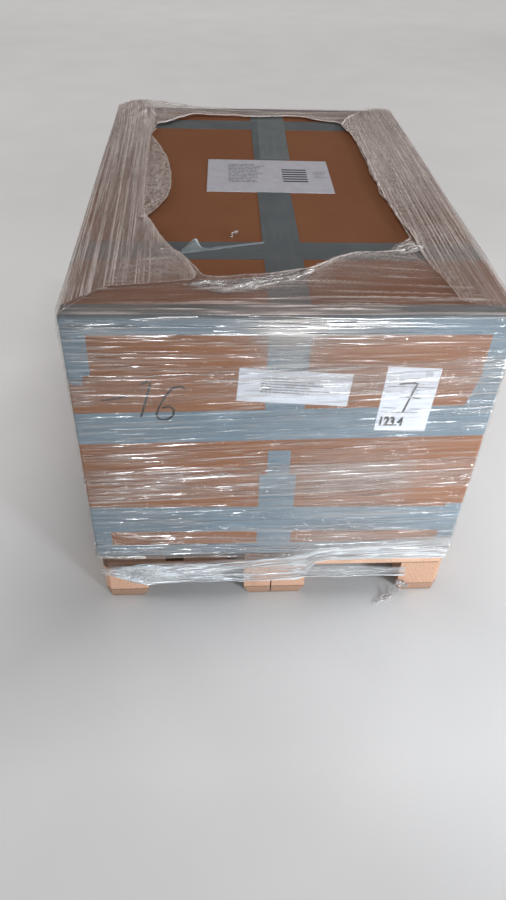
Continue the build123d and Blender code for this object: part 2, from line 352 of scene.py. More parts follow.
# Sawn wood: growth rings about a line along the board, drawn through it, so that the faces show long grain
# and the ends show rings. The rings are sheared by noise, and each board has its own pith line and tone.

woodFacts = {
    "early": colour(234, 194, 168),
    "late": colour(186, 132, 98),
    "end": colour(222, 176, 148),
    "grey": colour(150, 120, 96),
    "shadow": colour(84, 54, 34),
    "ringWidth": 0.0085,
    # edge: how wide the painted shade is along each piece's upper and lower edge
    "edge": 0.0022,
    "leftShade": (-0.13, -0.02),   # where the painted shade on the front stringer board's left half ends
    "endShadeReach": 0.07,        # how far back the painted shade on a front end goes
    # how bright a piece is, beside 1 for the others and 0.72 for the bottom boards; deck_board_1 and
    # deck_board_2 are darker as painted shade
    "tints": {
        "deck_board_1": 0.8, "deck_board_2": 0.8, "block_front_left": 1.1, "block_front_middle": 1.05,
        "block_front_right": 0.86,
    },
    "bottomTint": 0.72,
    # boards whose front ends carry painted shade, with how much
    "shadedEnds": {"deck_board_1": 0.9, "deck_board_2": 0.9, "deck_board_3": 0.7},
}


def woodMaterial(name, seed, lengthAxis, bottom, top, tint, endShade):
    material, tree = newTree(name)
    rng = np.random.default_rng(seed)
    stretch = [1.0, 1.0, 1.0]
    stretch[lengthAxis] = 0.06
    shift = [float(value) for value in rng.uniform(-0.16, 0.16, 3)]
    shift[2] = float(rng.uniform(0.05, 0.2))
    place = objectPlace(tree, tuple(stretch), tuple(shift))
    wander = noise(tree, place, 9, 2, 0.5)
    split = addNode(tree, "ShaderNodeSeparateXYZ", {0: place})
    across = [axis for number, axis in enumerate("XYZ") if number != lengthAxis]
    squares = [sums(tree, "POWER", sums(tree, "ABSOLUTE", split.outputs[axis]), 2.0) for axis in across]
    radius = sums(tree, "SQRT", sums(tree, "ADD", *squares))
    radius = sums(tree, "ADD", radius, sums(tree, "MULTIPLY", wander, 0.05))
    turns = sums(tree, "DIVIDE", radius, woodFacts["ringWidth"])
    ring = ramp(tree, sums(tree, "FRACT", turns), 0.35, 1.0)
    fibres = noise(tree, place, 700, 3, 0.6)
    tone = blendColours(tree, sums(tree, "MULTIPLY", ring, 0.38), woodFacts["early"], woodFacts["late"])
    tone = blendColours(tree, ramp(tree, fibres, 0.45, 0.8, 0, 0.5), tone, woodFacts["late"])
    facing = objectAxes(tree, "Normal")["XYZ"[lengthAxis]]
    ending = ramp(tree, sums(tree, "ABSOLUTE", facing), 0.5, 0.8, 0, 0.4)
    tone = blendColours(tree, ending, tone, woodFacts["end"])
    # saw marks and splinters across the ends, rings still showing through
    coarse = patches(tree, objectPlace(tree, (1, 1, 2.2)), 130, 5, 0.7, 0.38, 0.7, 0, 0.55)
    tone = blendColours(tree, coarse, tone, woodFacts["late"])
    dirt = patches(tree, objectPlace(tree), 16, 5, 0.65, 0.5, 0.72, 0, 0.5)
    axes = objectAxes(tree)
    low = ramp(tree, axes["Z"], 0.0, 0.03, 0.35, 0.0)
    tone = blendColours(tree, sums(tree, "MAXIMUM", dirt, low), tone, woodFacts["grey"])
    # painted shade along its own edges where it meets the pieces above and below
    under = ramp(tree, axes["Z"], bottom, bottom + woodFacts["edge"], 0.85, 0.0)
    over = ramp(tree, axes["Z"], top - woodFacts["edge"], top, 0.0, 0.85)
    tone = blendColours(tree, sums(tree, "MAXIMUM", under, over), tone, woodFacts["shadow"])
    if name.endswith("stringer_board_front"):
        # painted shade darkens the left half of the front one
        leftShade = ramp(tree, axes["X"], *woodFacts["leftShade"], 0.85, 0.0)
        tone = blendColours(tree, leftShade, tone, woodFacts["shadow"])
    # painted shade on the board's front end, under the carton's edge
    if endShade:
        frontEndShade = ramp(tree, axes["Y"], palletFront, palletFront + woodFacts["endShadeReach"], endShade, 0.0)
        tone = blendColours(tree, frontEndShade, tone, woodFacts["shadow"])
    tint = tint * float(rng.uniform(0.94, 1.05))
    tone = blendColours(tree, 1.0, tone, (tint, tint * 0.98, tint * 0.95, 1), "MULTIPLY")
    sawn = noise(tree, objectPlace(tree, (60, 60, 900)), 1.0, 2, 0.5)
    relief = bump(tree, ring, 0.3, 0.0005)
    relief = bump(tree, fibres, 0.4, 0.0004, relief)
    relief = bump(tree, sawn, 0.25, 0.0005, relief)
    surface(tree, Base_Color=tone, Roughness=ramp(tree, fibres, 0.3, 0.7, 0.62, 0.85), Normal=relief)
    return material


# Paper: office white, with a soft cloudiness and a tooth

paperFacts = {
    "office": (colour(228, 228, 233), colour(216, 215, 222)),   # the paper and its clouds
    "label": (colour(243, 245, 250), colour(234, 236, 242)),
}
inkFacts = {
    "print": colour(40, 42, 48),
    "marker": colour(12, 10, 12),
    "dry": colour(120, 112, 108),
    "pooled": colour(20, 20, 24),
}


def paperMaterial(kind):
    material, tree = newTree(kind + "Paper")
    cloud = patches(tree, objectPlace(tree), 40, 4, 0.6, 0.35, 0.7)
    tone = blendColours(tree, cloud, *paperFacts[kind])
    relief = bump(tree, noise(tree, objectPlace(tree), 1500, 2, 0.5), 0.15, 0.0001)
    relief = bump(tree, noise(tree, objectPlace(tree), 22, 2, 0.5), 0.3, 0.0015, relief)
    surface(tree, Base_Color=tone, Roughness=ramp(tree, cloud, 0, 1, 0.55, 0.68), Normal=relief)
    return material


def inkMaterial(name, dark, thin):
    # Ink that has sunk in unevenly: its tone breaks up where the pen or the print was dry
    material, tree = newTree(name)
    dry = patches(tree, objectPlace(tree), 900, 3, 0.6, 0.5, 0.8, 0, thin)
    pooled = patches(tree, objectPlace(tree), 120, 2, 0.5, 0.4, 0.7, 0, 0.4)
    tone = blendColours(tree, dry, dark, inkFacts["dry"])
    tone = blendColours(tree, pooled, tone, inkFacts["pooled"])
    surface(tree, Base_Color=tone, Roughness=ramp(tree, dry, 0, 1, 0.4, 0.6))
    return material


# Stretch film: clear plastic, mirror-like on its creases and milky where it has gathered. Its UV map runs
# along the pull in metres. Streaks are noise stretched along the pull, and the gather attribute thickens it.

filmFacts = {
    "clear": colour(238, 230, 224),
    # tan: a warm tint on the lapped film, a painted reflection of warm surroundings
    "tan": colour(252, 236, 226),
    "cool": colour(235, 235, 234),
    "lineLength": 0.42,
    "lineWidth": 0.0042,
    "foldLength": 0.60,
    "foldWidth": 0.015,
    "net": ((0.013, 0.10), (0.0070, 0.11)),   # crumpled creases: how far apart and how broad
    "milk": {"lines": 0.24, "folds": 0.08, "net": 0.75},     # how much milkier each makes the film
    # tint, light stopped where clear and where full, milkiness that counts as full, mirror share, roughness
    "kinds": {
        "stretchFilm": ("clear", 0.05, 0.98, 1.2, 0.74, 0.10),
        "lappedFilm": ("tan", 0.06, 0.98, 0.95, 0.05, 0.22),
        "bunchedFilm": ("clear", 0.06, 0.98, 1.1, 0.35, 0.16),
        "looseFilm": ("cool", 0.06, 0.98, 1.1, 0.35, 0.16),
    },
}


def filmMaterial(name):
    tint, thin, thick, full, metal, rough = filmFacts["kinds"][name]
    material, tree = newTree(name)
    pull = addNode(tree, "ShaderNodeUVMap", uv_map="Pull").outputs[0]

    def stretched(along, across, detail, shift):
        inputs = {"Vector": pull, "Scale": (1 / along, 1 / across, 1), "Location": (shift, shift, 0)}
        place = addNode(tree, "ShaderNodeMapping", inputs).outputs[0]
        return noise(tree, place, 1.0, detail, 0.5)

    def crests(along, across, thinness, shift):
        # thin lines where the noise passes its middle
        level = sums(tree, "ABSOLUTE", sums(tree, "SUBTRACT", stretched(along, across, 1.0, shift), 0.5))
        return ramp(tree, level, 0.0, thinness, 1.0, 0.0)

    gather = addNode(tree, "ShaderNodeAttribute", attribute_name="gather").outputs["Fac"]
    lines = crests(filmFacts["lineLength"], filmFacts["lineWidth"], 0.035, 0.0)
    lines = sums(tree, "MULTIPLY", lines, ramp(tree, stretched(0.25, 0.02, 2, 5.0), 0.42, 0.54))
    folds = crests(filmFacts["foldLength"], filmFacts["foldWidth"], 0.05, 3.0)
    clouds = patches(tree, objectPlace(tree), 4.5, 3, 0.5, 0.38, 0.66, 0.0, 0.07)
    # a net of creases of two sizes where the film is crumpled
    crumpled = addNode(tree, "ShaderNodeAttribute", attribute_name="crumpled").outputs["Fac"]
    net = None
    for size, thinness in filmFacts["net"]:
        level = sums(tree, "SUBTRACT", noise(tree, objectPlace(tree), 1 / size, 2, 0.6), 0.5)
        creased = ramp(tree, sums(tree, "ABSOLUTE", level), 0.0, thinness, 1.0, 0.0)
        net = creased if net is None else sums(tree, "MAXIMUM", net, sums(tree, "MULTIPLY", creased, 0.7))
    net = sums(tree, "MULTIPLY", net, crumpled)
    milk = sums(tree, "ADD", gather, clouds)
    for crease, part in (("lines", lines), ("folds", folds), ("net", net)):
        milk = sums(tree, "ADD", milk, sums(tree, "MULTIPLY", part, filmFacts["milk"][crease]))
    alpha = ramp(tree, milk, 0.0, full, thin, thick)
    relief = bump(tree, lines, 0.8, 0.0014)
    relief = bump(tree, folds, 0.5, 0.002, relief)
    relief = bump(tree, net, 0.9, 0.0022, relief)
    surface(
        tree,
        Base_Color=filmFacts[tint],
        Metallic=metal,
        Roughness=ramp(tree, stretched(0.1, 0.02, 2, 9.0), 0.3, 0.7, rough, rough + 0.1),
        Normal=relief,
        Alpha=alpha,
        Specular_IOR_Level=0.8,
    )
    return material


kraftLiner = cardboardMaterial()
tapeAcross = tapeMaterial("clothTapeAcross", 0)
tapeAlong = tapeMaterial("clothTapeAlong", 1)
tapeUpright = tapeMaterial("clothTapeUpright", 2)
tapeNewer = tapeMaterial("clothTapeNewer", 1, tapeFacts["newer"])
tapeGlue = tapeMaterial("clothTapeGlue", 0, tapeFacts["glued"])
officePaper = paperMaterial("office")
labelPaper = paperMaterial("label")
printInk = inkMaterial("printInk", inkFacts["print"], 0.3)
markerInk = inkMaterial("markerInk", inkFacts["marker"], 0.06)
wrapFilm = filmMaterial("stretchFilm")
lapFilm = filmMaterial("lappedFilm")
bunchedFilm = filmMaterial("bunchedFilm")
looseFilm = filmMaterial("looseFilm")
print("materials made")


def dressNode(name, material):
    # The node shows this material and no other
    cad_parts[name].data.materials.clear()
    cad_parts[name].data.materials.append(material)


def dressFrame():
    # Every node gets its material, by what it is and how it lies
    for number, name in enumerate(sorted(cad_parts)):
        if "board" in name or "block" in name:
            lengthAxis = 0 if "stringer" in name else 1
            bottom, top = (float(corner[2]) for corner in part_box(name))
            tint = woodFacts["tints"].get(name, woodFacts["bottomTint"] if "bottom" in name else 1.0)
            endShade = woodFacts["shadedEnds"].get(name, 0.0)
            dressNode(name, woodMaterial("wood_" + name, number, lengthAxis, bottom, top, tint, endShade))
        elif "corner_tape" in name:
            dressNode(name, tapeUpright)
        elif name == "seam_patch_tape":
            dressNode(name, tapeNewer)
        elif "tape" in name:
            dressNode(name, tapeAlong if "seam" in name else tapeAcross)
        elif name == "top_sheet":
            dressNode(name, officePaper)
        elif name in ("address_label", "weight_label"):
            dressNode(name, labelPaper)
        else:
            dressNode(name, kraftLiner)


dressFrame()
print("frame dressed")


# The film's turns. A ring of points goes round the carton on its surface, anticlockwise from the front left
# corner, with its outward directions and the distance walked.


def ringOutline(spacing, cornerSteps=6):
    low = cartonLow[:2] + creaseRadius
    high = cartonHigh[:2] - creaseRadius
    corners = np.array([low, (high[0], low[1]), high, (low[0], high[1])])
    points, outward = [], []
    for side in range(4):
        start, end = corners[side], corners[(side + 1) % 4]
        facing = math.radians(90 * side - 90)
        straight = np.array([math.cos(facing), math.sin(facing)])
        count = round(float(np.linalg.norm(end - start)) / spacing)
        share = np.linspace(0, 1, count, endpoint=False)[:, None]
        points.append(start + share * (end - start) + straight * creaseRadius)
        outward.append(np.tile(straight, (count, 1)))
        angles = facing + np.linspace(0, math.pi / 2, cornerSteps, endpoint=False)
        way = np.stack([np.cos(angles), np.sin(angles)], axis=1)
        points.append(end + way * creaseRadius)
        outward.append(way)
    points, outward = np.concatenate(points), np.concatenate(outward)
    steps = np.linalg.norm(np.roll(points, -1, axis=0) - points, axis=1)
    walked = np.concatenate([[0], np.cumsum(steps)[:-1]])
    return points, outward, walked, float(steps.sum())


turnFacts = {
    "spacing": 0.0130,
    "rowStep": 0.00125,
    "climb": 0.035,          # how much a turn rises and falls on its way round
    "steepest": 0.55,        # where on the walk it climbs most: the right half of the front
    "clear": 0.0016,         # off the carton, over the thickest stack of tape
    "layerStep": 0.0005,     # how much further out each further turn lies
    "broadFold": 0.0008,
    "fineFold": 0.0003,
    "ridges": 400,           # single hard folds on one turn
    "ridgeSizes": ((0.06, 0.45), (0.0012, 0.0018), (0.0008, 0.0023)),   # lengths, widths, heights
    # two places on the front where it lies in many short folds: how many, lengths and the span walked
    "ruched": ((80, (0.05, 0.17), (0.03, 0.21)), (36, (0.03, 0.08), (0.27, 0.36))),
    "ruchedSizes": ((0.0011, 0.0016), (0.0013, 0.0028)),     # widths, heights
    "swell": 0.0006,
    "crestMilk": 240,
    "haze": 0.13,            # more film lies over the right-hand half of the front
    "hazeFoot": 1.4,         # how much thicker the haze is along its foot
    "hazeBlock": 1.1,        # and over a block between the bands
    "edgeWidth": 0.0035,     # of the milky line along both edges of a turn
    "flatter": 0.85,         # how far the folds are smoothed over the pen marks
}


def hazeOf(walked, height, seed):
    # A soft cloud over the right-hand half of the front, uneven in both directions
    side = between(walked, 0.30, 0.52, 0.78, 0.83)
    cloud = 0.35 + 0.65 * (0.5 + 0.5 * softNoise(walked / 0.13, height / 0.10, seed))
    foot = turnFacts["hazeFoot"] * bell(height, 0.17, 0.06)
    block = turnFacts["hazeBlock"] * between(walked, 0.40, 0.46, 0.64, 0.70)
    block = block * between(height, 0.25, 0.29, 0.43, 0.47)
    return turnFacts["haze"] * side * (cloud + foot + block)


def flattened(walked, height):
    # The film lies flatter over the pen marks, which stay legible through it
    beside = between(walked, 0.02, 0.05, 0.22, 0.26)
    return 1 - turnFacts["flatter"] * beside * between(height, 0.52, 0.545, 0.635, 0.655)


def climb(walked, total):
    # One slow rise and fall on the way round
    return turnFacts["climb"] * np.sin(2 * math.pi * (walked - turnFacts["steepest"]) / total)


def pulledFolds(walked, across, total, seed):
    # Folds along the pull: two sizes of creases on stretched noise, thicker in some places than in others,
    # over a slow swell. Returns how far the film stands out and how much it has gathered.
    def turnsOf(length):
        steps = max(1, round(total / length))
        return walked * steps / total, steps

    long, longSteps = turnsOf(0.40)
    medium, mediumSteps = turnsOf(0.30)
    short, shortSteps = turnsOf(0.16)
    swell = softNoise(long, across / 0.06, seed + 1, longSteps)
    patch = 0.55 + 0.45 * softNoise(medium, across / 0.09, seed + 2, mediumSteps)
    broad = creases(medium, across / 0.012, seed + 3, 0.32, mediumSteps)
    fine = creases(short, across / 0.0055, seed + 4, 0.4, shortSteps)
    out = turnFacts["broadFold"] * broad * patch + turnFacts["fineFold"] * fine * (1.2 - patch)
    return out + turnFacts["swell"] * (1 + swell), 0.08 * broad * patch + 0.04 * fine


def drawnRidges(walked, across, total, seed, count, lengths, widths, heights, lean, span=None):
    # Single hard folds: each a bell curve across the pull, and along it a run with tapered ends. They
    # bow a little and lean a little off the pull, and lie at random over the turn or over a span of it.
    rng = np.random.default_rng(seed)
    out = np.zeros(across.shape)
    low, high = float(across.min()), float(across.max())
    for _ in range(count):
        middle, level = rng.uniform(*(span or (0, total))), rng.uniform(low, high)
        length, width, height = rng.uniform(*lengths), rng.uniform(*widths), rng.uniform(*heights)
        tilt, bow = rng.normal(0, lean), rng.normal(0, 0.5 * lean)
        away = (walked - middle + total / 2) % total - total / 2
        columns = np.nonzero(np.abs(away) < length / 2)[0]
        if len(columns) < 2:
            continue
        share = 2 * away[columns] / length
        line = level + tilt * away[columns] + bow * share**2 * length
        offset = (across[:, columns] - line) / width
        ridge = height * (1 - share**2) ** 0.7 * np.exp(-(offset**2))
        out[:, columns] = np.maximum(out[:, columns], ridge)
    return out


def ruchedRidges(walked, across, total, seed):
    # The short folds of the ruched places, the higher one where two meet
    out = np.zeros(across.shape)
    for place, (count, lengths, span) in enumerate(turnFacts["ruched"]):
        sizes = (lengths, *turnFacts["ruchedSizes"])
        out = np.maximum(out, drawnRidges(walked, across, total, seed + place, count, *sizes, 0.004, span))
    return out


def makeTurn(name, low, high, layer, seed, densities):
    # One turn of film: each point is the carton's outline pushed out by its clearance and folds, at a height
    # shared out evenly between the turn's lower and upper edges. densities are heights where it has gathered,
    # each with its reach and how much more the folds stand out.
    points, outward, walked, total = ringOutline(turnFacts["spacing"])
    lowEdge, highEdge = low(walked, total), high(walked, total)
    rows = round(float((highEdge - lowEdge).mean()) / turnFacts["rowStep"])
    share = np.linspace(0, 1, rows)[:, None]
    height = lowEdge + share * (highEdge - lowEdge)
    # the folds run as the rows do, between the direction of the lower edge and that of the upper one
    level = np.broadcast_to(lowEdge.mean() + share * (highEdge.mean() - lowEdge.mean()), height.shape)
    out, gather = pulledFolds(walked[None, :], level, total, seed)
    ridges = drawnRidges(walked, level, total, seed + 7, turnFacts["ridges"], *turnFacts["ridgeSizes"], 0.006)
    ridges = np.maximum(ridges, ruchedRidges(walked, level, total, seed + 3))
    smoother = flattened(walked, height)
    ridges = ridges * smoother
    out = np.maximum(out, ridges)
    gather = gather * smoother + turnFacts["crestMilk"] * ridges
    gather = gather + hazeOf(walked[None, :], height, seed + 9)
    for middle, reach, more in densities:
        near = bell(height, middle, reach)
        out = out * (1 + near * more)
        gather = gather + 0.22 * near * more
    edge = bell(height, highEdge, turnFacts["edgeWidth"]) + bell(height, lowEdge, turnFacts["edgeWidth"])
    gather = np.clip(gather + 0.35 * edge, 0, 1)
    below = cartonBase - height
    tuck = 0.0034 * eased(below, 0.002, 0.020)      # it comes in against the pallet below the carton
    clear = turnFacts["clear"] + layer * turnFacts["layerStep"] + out * eased(below, 0.03, -0.01)
    place = points[None] + outward[None] * (clear - tuck)[..., None]
    piece = gridPiece(
        name,
        raised(place, height),
        closed=True,
        along=walked[None, :],
        across=level,
        gather=gather,
    )
    finishPiece(piece, wrapFilm, "stretch_film")


def wavyEdge(walked, total, size, seed):
    # A slow wave along an edge, up to size either way
    return size * softNoise(walked * 40 / total, 0.5, seed, 40)


def risingEdge(level, seed):
    # An edge at a height that climbs and falls once and waves on its way round
    return lambda walked, total: level + climb(walked, total) + wavyEdge(walked, total, 0.002, seed)


def lowestEdge(walked, total):
    # Tight up under the carton at the front left, down over the deck's edge elsewhere
    onLeft = 1 - eased(walked, 0.22, 0.46)
    onLeft = np.maximum(onLeft, eased(walked, total - 0.25, total))
    return 0.121 + 0.016 * onLeft + wavyEdge(walked, total, 0.0025, 5)


makeTurn("film_turn_low", lowestEdge, risingEdge(0.425, 6), 0, 10, [(0.165, 0.04, 0.9)])
makeTurn("film_turn_middle", risingEdge(0.345, 7), risingEdge(0.665, 8), 1, 20, [])
print("side turns wound")


# The top turn. It comes up the sides, goes over the crease and lies in over the top to the edge of the open
# middle, where it ends in a rolled hem. The open middle is given by points on its edge, in millimetres.

openingPoints = [
    (-160, -474), (-128, -478), (-45, -469), (-6, -456), (41, -445), (71, -419), (104, -392), (134, -377),
    (187, -374), (215, -366), (240, -334), (268, -306), (262, -217), (253, -79), (250, 60), (253, 222),
    (244, 384), (228, 462), (123, 512), (0, 508), (-112, 512), (-182, 517),
    (-239, 455), (-268, 424), (-290, 396), (-300, 330), (-296, 200), (-292, 60), (-292, -70), (-290, -150),
    (-284, -200), (-268, -235), (-246, -304), (-222, -358), (-192, -401),
]
topFacts = {
    "spacing": 0.0118,
    "start": 0.60,
    "sideRows": 104,
    "creaseRows": 6,
    "creaseTurn": 1.57,      # the turn that the folds are spread over, in radians
    "topRows": 108,
    "hemRows": 12,
    "lift": 0.0028,
    "hemRadius": 0.0026,
    "ridges": 620,
    "ridgeSizes": ((0.08, 0.5), (0.0012, 0.0019), (0.0007, 0.0020)),   # lengths, widths, heights
    "crestMilk": (240, 80),  # on the side, and how much more by the top
    "bulge": 0.0055,         # how far it stands out below the front's upper edge
    # how milky the film over the top is by each side
    "milk": {"left": 0.10, "right": 0.12, "front": 0.01, "back": 0.34},
    # a painted sheen: a milky patch under the front's upper edge that stands in for a reflection there; its
    # middle and reach on the walk, and how milky
    "patch": (0.395, 0.055, 0.75),
}


def openEdge(points):
    # Where the open edge lies on the ray from the middle of the top through each point. The top is taken as
    # a square, and the edge is drawn by angle and smoothed.
    middle = (cartonLow[:2] + cartonHigh[:2]) / 2
    half = (cartonHigh[:2] - cartonLow[:2]) / 2
    edge = (np.array(openingPoints) * milli - middle) / half
    order = np.argsort(np.arctan2(edge[:, 1], edge[:, 0]))
    edge = edge[order]
    angles = np.linspace(-math.pi, math.pi, 720, endpoint=False)
    edgeAngles = np.arctan2(edge[:, 1], edge[:, 0])
    share = np.interp(angles, edgeAngles, np.abs(edge).max(axis=1), period=2 * math.pi)
    share = smoothed(share[:, None], 4, mode="wrap")[:, 0]
    ray = (points - middle) / half
    found = np.interp(np.arctan2(ray[:, 1], ray[:, 0]), angles, share, period=2 * math.pi)
    return middle + (points - middle) * found[:, None]


def onSide(outward, name):
    # 1 on the columns of one side of the carton, fading over its corners
    facing = {"front": (0, -1), "right": (1, 0), "back": (0, 1), "left": (-1, 0)}[name]
    return eased(outward @ np.array(facing), 0.3, 0.9)


bunchFacts = {
    "place": (-0.335, 0.578),
    "height": 0.016,
    "pleat": 0.005,
    "reach": (0.050, 0.125, 0.060, 0.100),   # left, right, back, front
}


def bunchShape(x, y):
    # A hump with a different reach on each of its four sides, 1 at its peak
    left, right, back, front = bunchFacts["reach"]
    middleX, middleY = bunchFacts["place"]
    reachX, reachY = np.where(x < middleX, left, right), np.where(y > middleY, back, front)
    return bell(x, middleX, reachX) * bell(y, middleY, reachY)


def raiseBunch(place, across):
    # Lifts the film into a tent near the back left corner, pleated towards its peak
    x, y = place[..., 0], place[..., 1]
    hump = bunchShape(x, y) * eased(across, -0.05, 0.004)
    dx, dy = x - bunchFacts["place"][0], y - bunchFacts["place"][1]
    pleats = creases(np.arctan2(dy, dx) * 5.5 + 30, np.hypot(dx, dy) / 0.05, 57, 0.5)
    # the pleats are highest halfway up
    place[..., 2] += bunchFacts["height"] * hump + bunchFacts["pleat"] * pleats * hump * (1 - hump) * 4
    return place


def makeTopTurn():
    # Rows of points up the side, round the crease, in to the open edge and round the hem, each pushed out by
    # its clearance and folds as on the side turns
    facts = topFacts
    sideRows, topRows, hemRows = facts["sideRows"], facts["topRows"], facts["hemRows"]
    points, outward, walked, total = ringOutline(facts["spacing"])
    inset = points - outward * creaseRadius
    inward = openEdge(points) - inset
    width = np.linalg.norm(inward, axis=1)
    inward = inward / width[:, None]
    width = width + wavyEdge(walked, total, 0.005, 31)
    width = width + 0.004 * softNoise(walked * 120 / total, 0.5, 32, 120)

    # across is nought at the carton's top, below nought down the side, and above it in over the top
    side = np.linspace(0, 1, sideRows)[:, None]
    start = risingEdge(facts["start"], 9)(walked, total)
    height = start + side * (cartonTop - creaseRadius - start)
    crease = np.linspace(0, math.pi / 2, facts["creaseRows"] + 2)[1:-1][:, None]
    lap = np.linspace(0, 1, topRows)[:, None]
    onCrease = creaseRadius * (crease / facts["creaseTurn"] - 1)
    across = np.concatenate([height - cartonTop, onCrease + 0 * width, lap * width])
    # on the side the folds run as the rows do
    rowMeans = across[:sideRows].mean(axis=1, keepdims=True)
    pulled = np.concatenate([rowMeans + 0 * width, across[sideRows:]])
    out, gather = pulledFolds(walked[None, :], pulled, total, 40)
    ridges = drawnRidges(walked, pulled, total, 47, facts["ridges"], *facts["ridgeSizes"], 0.010)
    ruched = ruchedRidges(walked, pulled, total, 43) * (1 - 0.9 * eased(across, -0.012, 0.012))
    smoother = flattened(walked, cartonTop + across)
    ridges = np.maximum(ridges, ruched) * smoother
    out = np.maximum(out, ridges)
    crestMilk = facts["crestMilk"][0] + facts["crestMilk"][1] * eased(across, -0.05, 0.0)
    gather = gather * smoother + crestMilk * ridges

    sides = {name: onSide(outward, name) for name in facts["milk"]}
    front, beside = sides["front"], np.clip(sides["left"] + sides["right"], 0, 1)
    over = eased(across, 0.0, 0.05)
    roundTop = eased(across, -0.075, -0.01)
    milky = over * sum(facts["milk"][name] * share for name, share in sides.items())
    leaning = facts["bulge"] * np.sin(math.pi * np.clip(-across / 0.075, 0, 1)) * front
    leaning = leaning * (1 - 0.55 * eased(walked, 0.46, 0.62))
    out = out * (1 + roundTop * (0.7 + 1.3 * front)) + leaning
    # milkier film over the front's upper edge, partly a painted highlight for the reflection along it
    edgeMilkAndSheen = front * between(walked, 0.22, 0.36, 0.50, 0.66)
    middle, reach, more = facts["patch"]
    patch = more * bell(walked, middle, reach) * front
    patch = patch * between(across, -0.165, -0.03, -0.012, 0.010)
    gather = gather * (1 + 0.6 * roundTop * edgeMilkAndSheen) + milky
    gather = gather + roundTop * (0.05 + 0.30 * edgeMilkAndSheen) * (1 - 0.85 * over) + patch
    gather = gather + hazeOf(walked, across, 49) * eased(-across, 0.0, 0.03)

    onTop = inset[None] + inward[None] * (lap * width)[..., None]
    inner = eased(lap + 0 * width, 0.35, 0.9)
    crumpled = 0.5 + 0.5 * softNoise(onTop[..., 0] / 0.05, onTop[..., 1] / 0.04, 51)
    crumpled = inner * crumpled * (0.55 * front + 0.8 * sides["back"])
    lifted = facts["lift"] * eased(lap + 0 * width, 0.2, 1.0)
    lifted = lifted * (0.6 + 0.5 * softNoise(walked * 25 / total, 0.5, 53, 25))
    lapOut = out[-topRows:] * (1 - 0.75 * beside) + lifted * (1 - 0.6 * beside)
    gather[-topRows:] += 0.05 * inner

    clear = turnFacts["clear"] + 2 * turnFacts["layerStep"]
    sideOut = clear + out[:sideRows]
    creaseOut = creaseRadius + clear + out[sideRows:-topRows]
    upSide = raised(points[None] + outward[None] * sideOut[..., None], height)
    roundCrease = raised(
        inset[None] + outward[None] * (creaseOut * np.cos(crease))[..., None],
        cartonTop - creaseRadius + creaseOut * np.sin(crease),
    )
    onTop = raised(onTop, cartonTop + clear + lapOut)

    # The hem: the film's edge rolled up and back on itself, in a circle that tightens as it turns
    turn = np.linspace(0, 1.7 * math.pi, hemRows + 1)[1:][:, None]
    thickness = facts["hemRadius"] * (1 + 0.6 * softNoise(walked * 34 / total, 0.5, 54, 34))
    radius = thickness * (1 - 0.08 * turn)
    edge = onTop[-1:]
    rolled = raised(
        edge[..., :2] + inward[None] * (radius * np.sin(turn))[..., None],
        edge[..., 2] + radius * (1 - np.cos(turn)),
    )
    across = np.concatenate([across, across[-1:] + turn * thickness])
    gather = np.concatenate([gather, np.clip(gather[-1:] + 0.15 + 0 * turn, 0, 1)])
    flatRows = np.zeros((len(across) - topRows - hemRows, len(walked)))
    piece = gridPiece(
        "film_turn_top",
        raiseBunch(np.concatenate([upSide, roundCrease, onTop, rolled]), across),
        closed=True,
        along=walked[None, :],
        across=across,
        gather=gather,
        crumpled=np.concatenate([flatRows, crumpled, crumpled[-1:] + 0 * turn]),
    )
    # the lapped film starts halfway round the crease
    sideFaces = len(walked) * (sideRows + facts["creaseRows"] // 2)
    finishPiece(piece, wrapFilm, "stretch_film", "wrap_film", second=lapFilm, firstFaces=sideFaces)


# The laps over the two long edges: further turns that lie over the top turn, drawn together to a point at
# one end. Each runs from a line just down the side to its inner edge, and its folds share out that width.

lapFacts = {
    # front: points of its front end. inner: the inner edge from front to back in millimetres. folds: how
    # wide the folds spread at the front and at the back. streaks: how many single hard folds. rimFolds: how
    # broad the folds along the inner edge are. backMilk and frontMilk: how much milkier it gets towards its
    # back and its front, and between which distances from the middle.
    "left": {
        "front": [(-0.409, -0.583), (-0.33, -0.510), (-0.175, -0.486)],
        "inner": [
            (-175, -486), (-170, -474), (-188, -404), (-222, -358), (-246, -304), (-268, -235), (-284, -200),
            (-292, -60), (-296, 200), (-300, 330), (-292, 396), (-296, 480), (-304, 545), (-310, 606),
        ],
        "folds": (0.150, 0.112), "streaks": 170, "crumpled": 0.14, "rimFolds": 0.026, "seed": 120,
        "backMilk": (0.55, (-0.15, 0.5)), "frontMilk": (-0.10, (0.22, 0.48)),
    },
    "right": {
        "front": [(0.403, -0.60), (0.36, -0.58), (0.300, -0.560)],
        "inner": [
            (300, -560), (288, -470), (275, -409), (272, -301), (262, -217), (254, -79), (251, 60),
            (254, 222), (245, 384), (228, 462), (250, 520), (300, 575), (330, 606),
        ],
        "folds": (0.150, 0.150), "streaks": 130, "crumpled": 0.85, "rimFolds": 0.012, "seed": 130,
        "backMilk": (0.58, (-0.35, 0.3)), "frontMilk": (-0.08, (0.30, 0.48)),
    },
    "down": 0.05,            # how far down the side each starts
    "back": 0.606,           # where their back ends lie
    "besideCarton": 0.0046,
    "overCarton": 0.0042,
    "rounding": 0.0075,
    "columnStep": 0.00105,
    "rows": 330,
    "lift": 0.0022,
    "rim": 0.0032,           # width of the pale line along the inner edge
    "crestMilk": 470,
    # the single hard folds
    "streakReach": (0.12, 0.60),
    "streakWidth": (0.0009, 0.0016),
    "streakHeight": (0.0009, 0.0024),
}


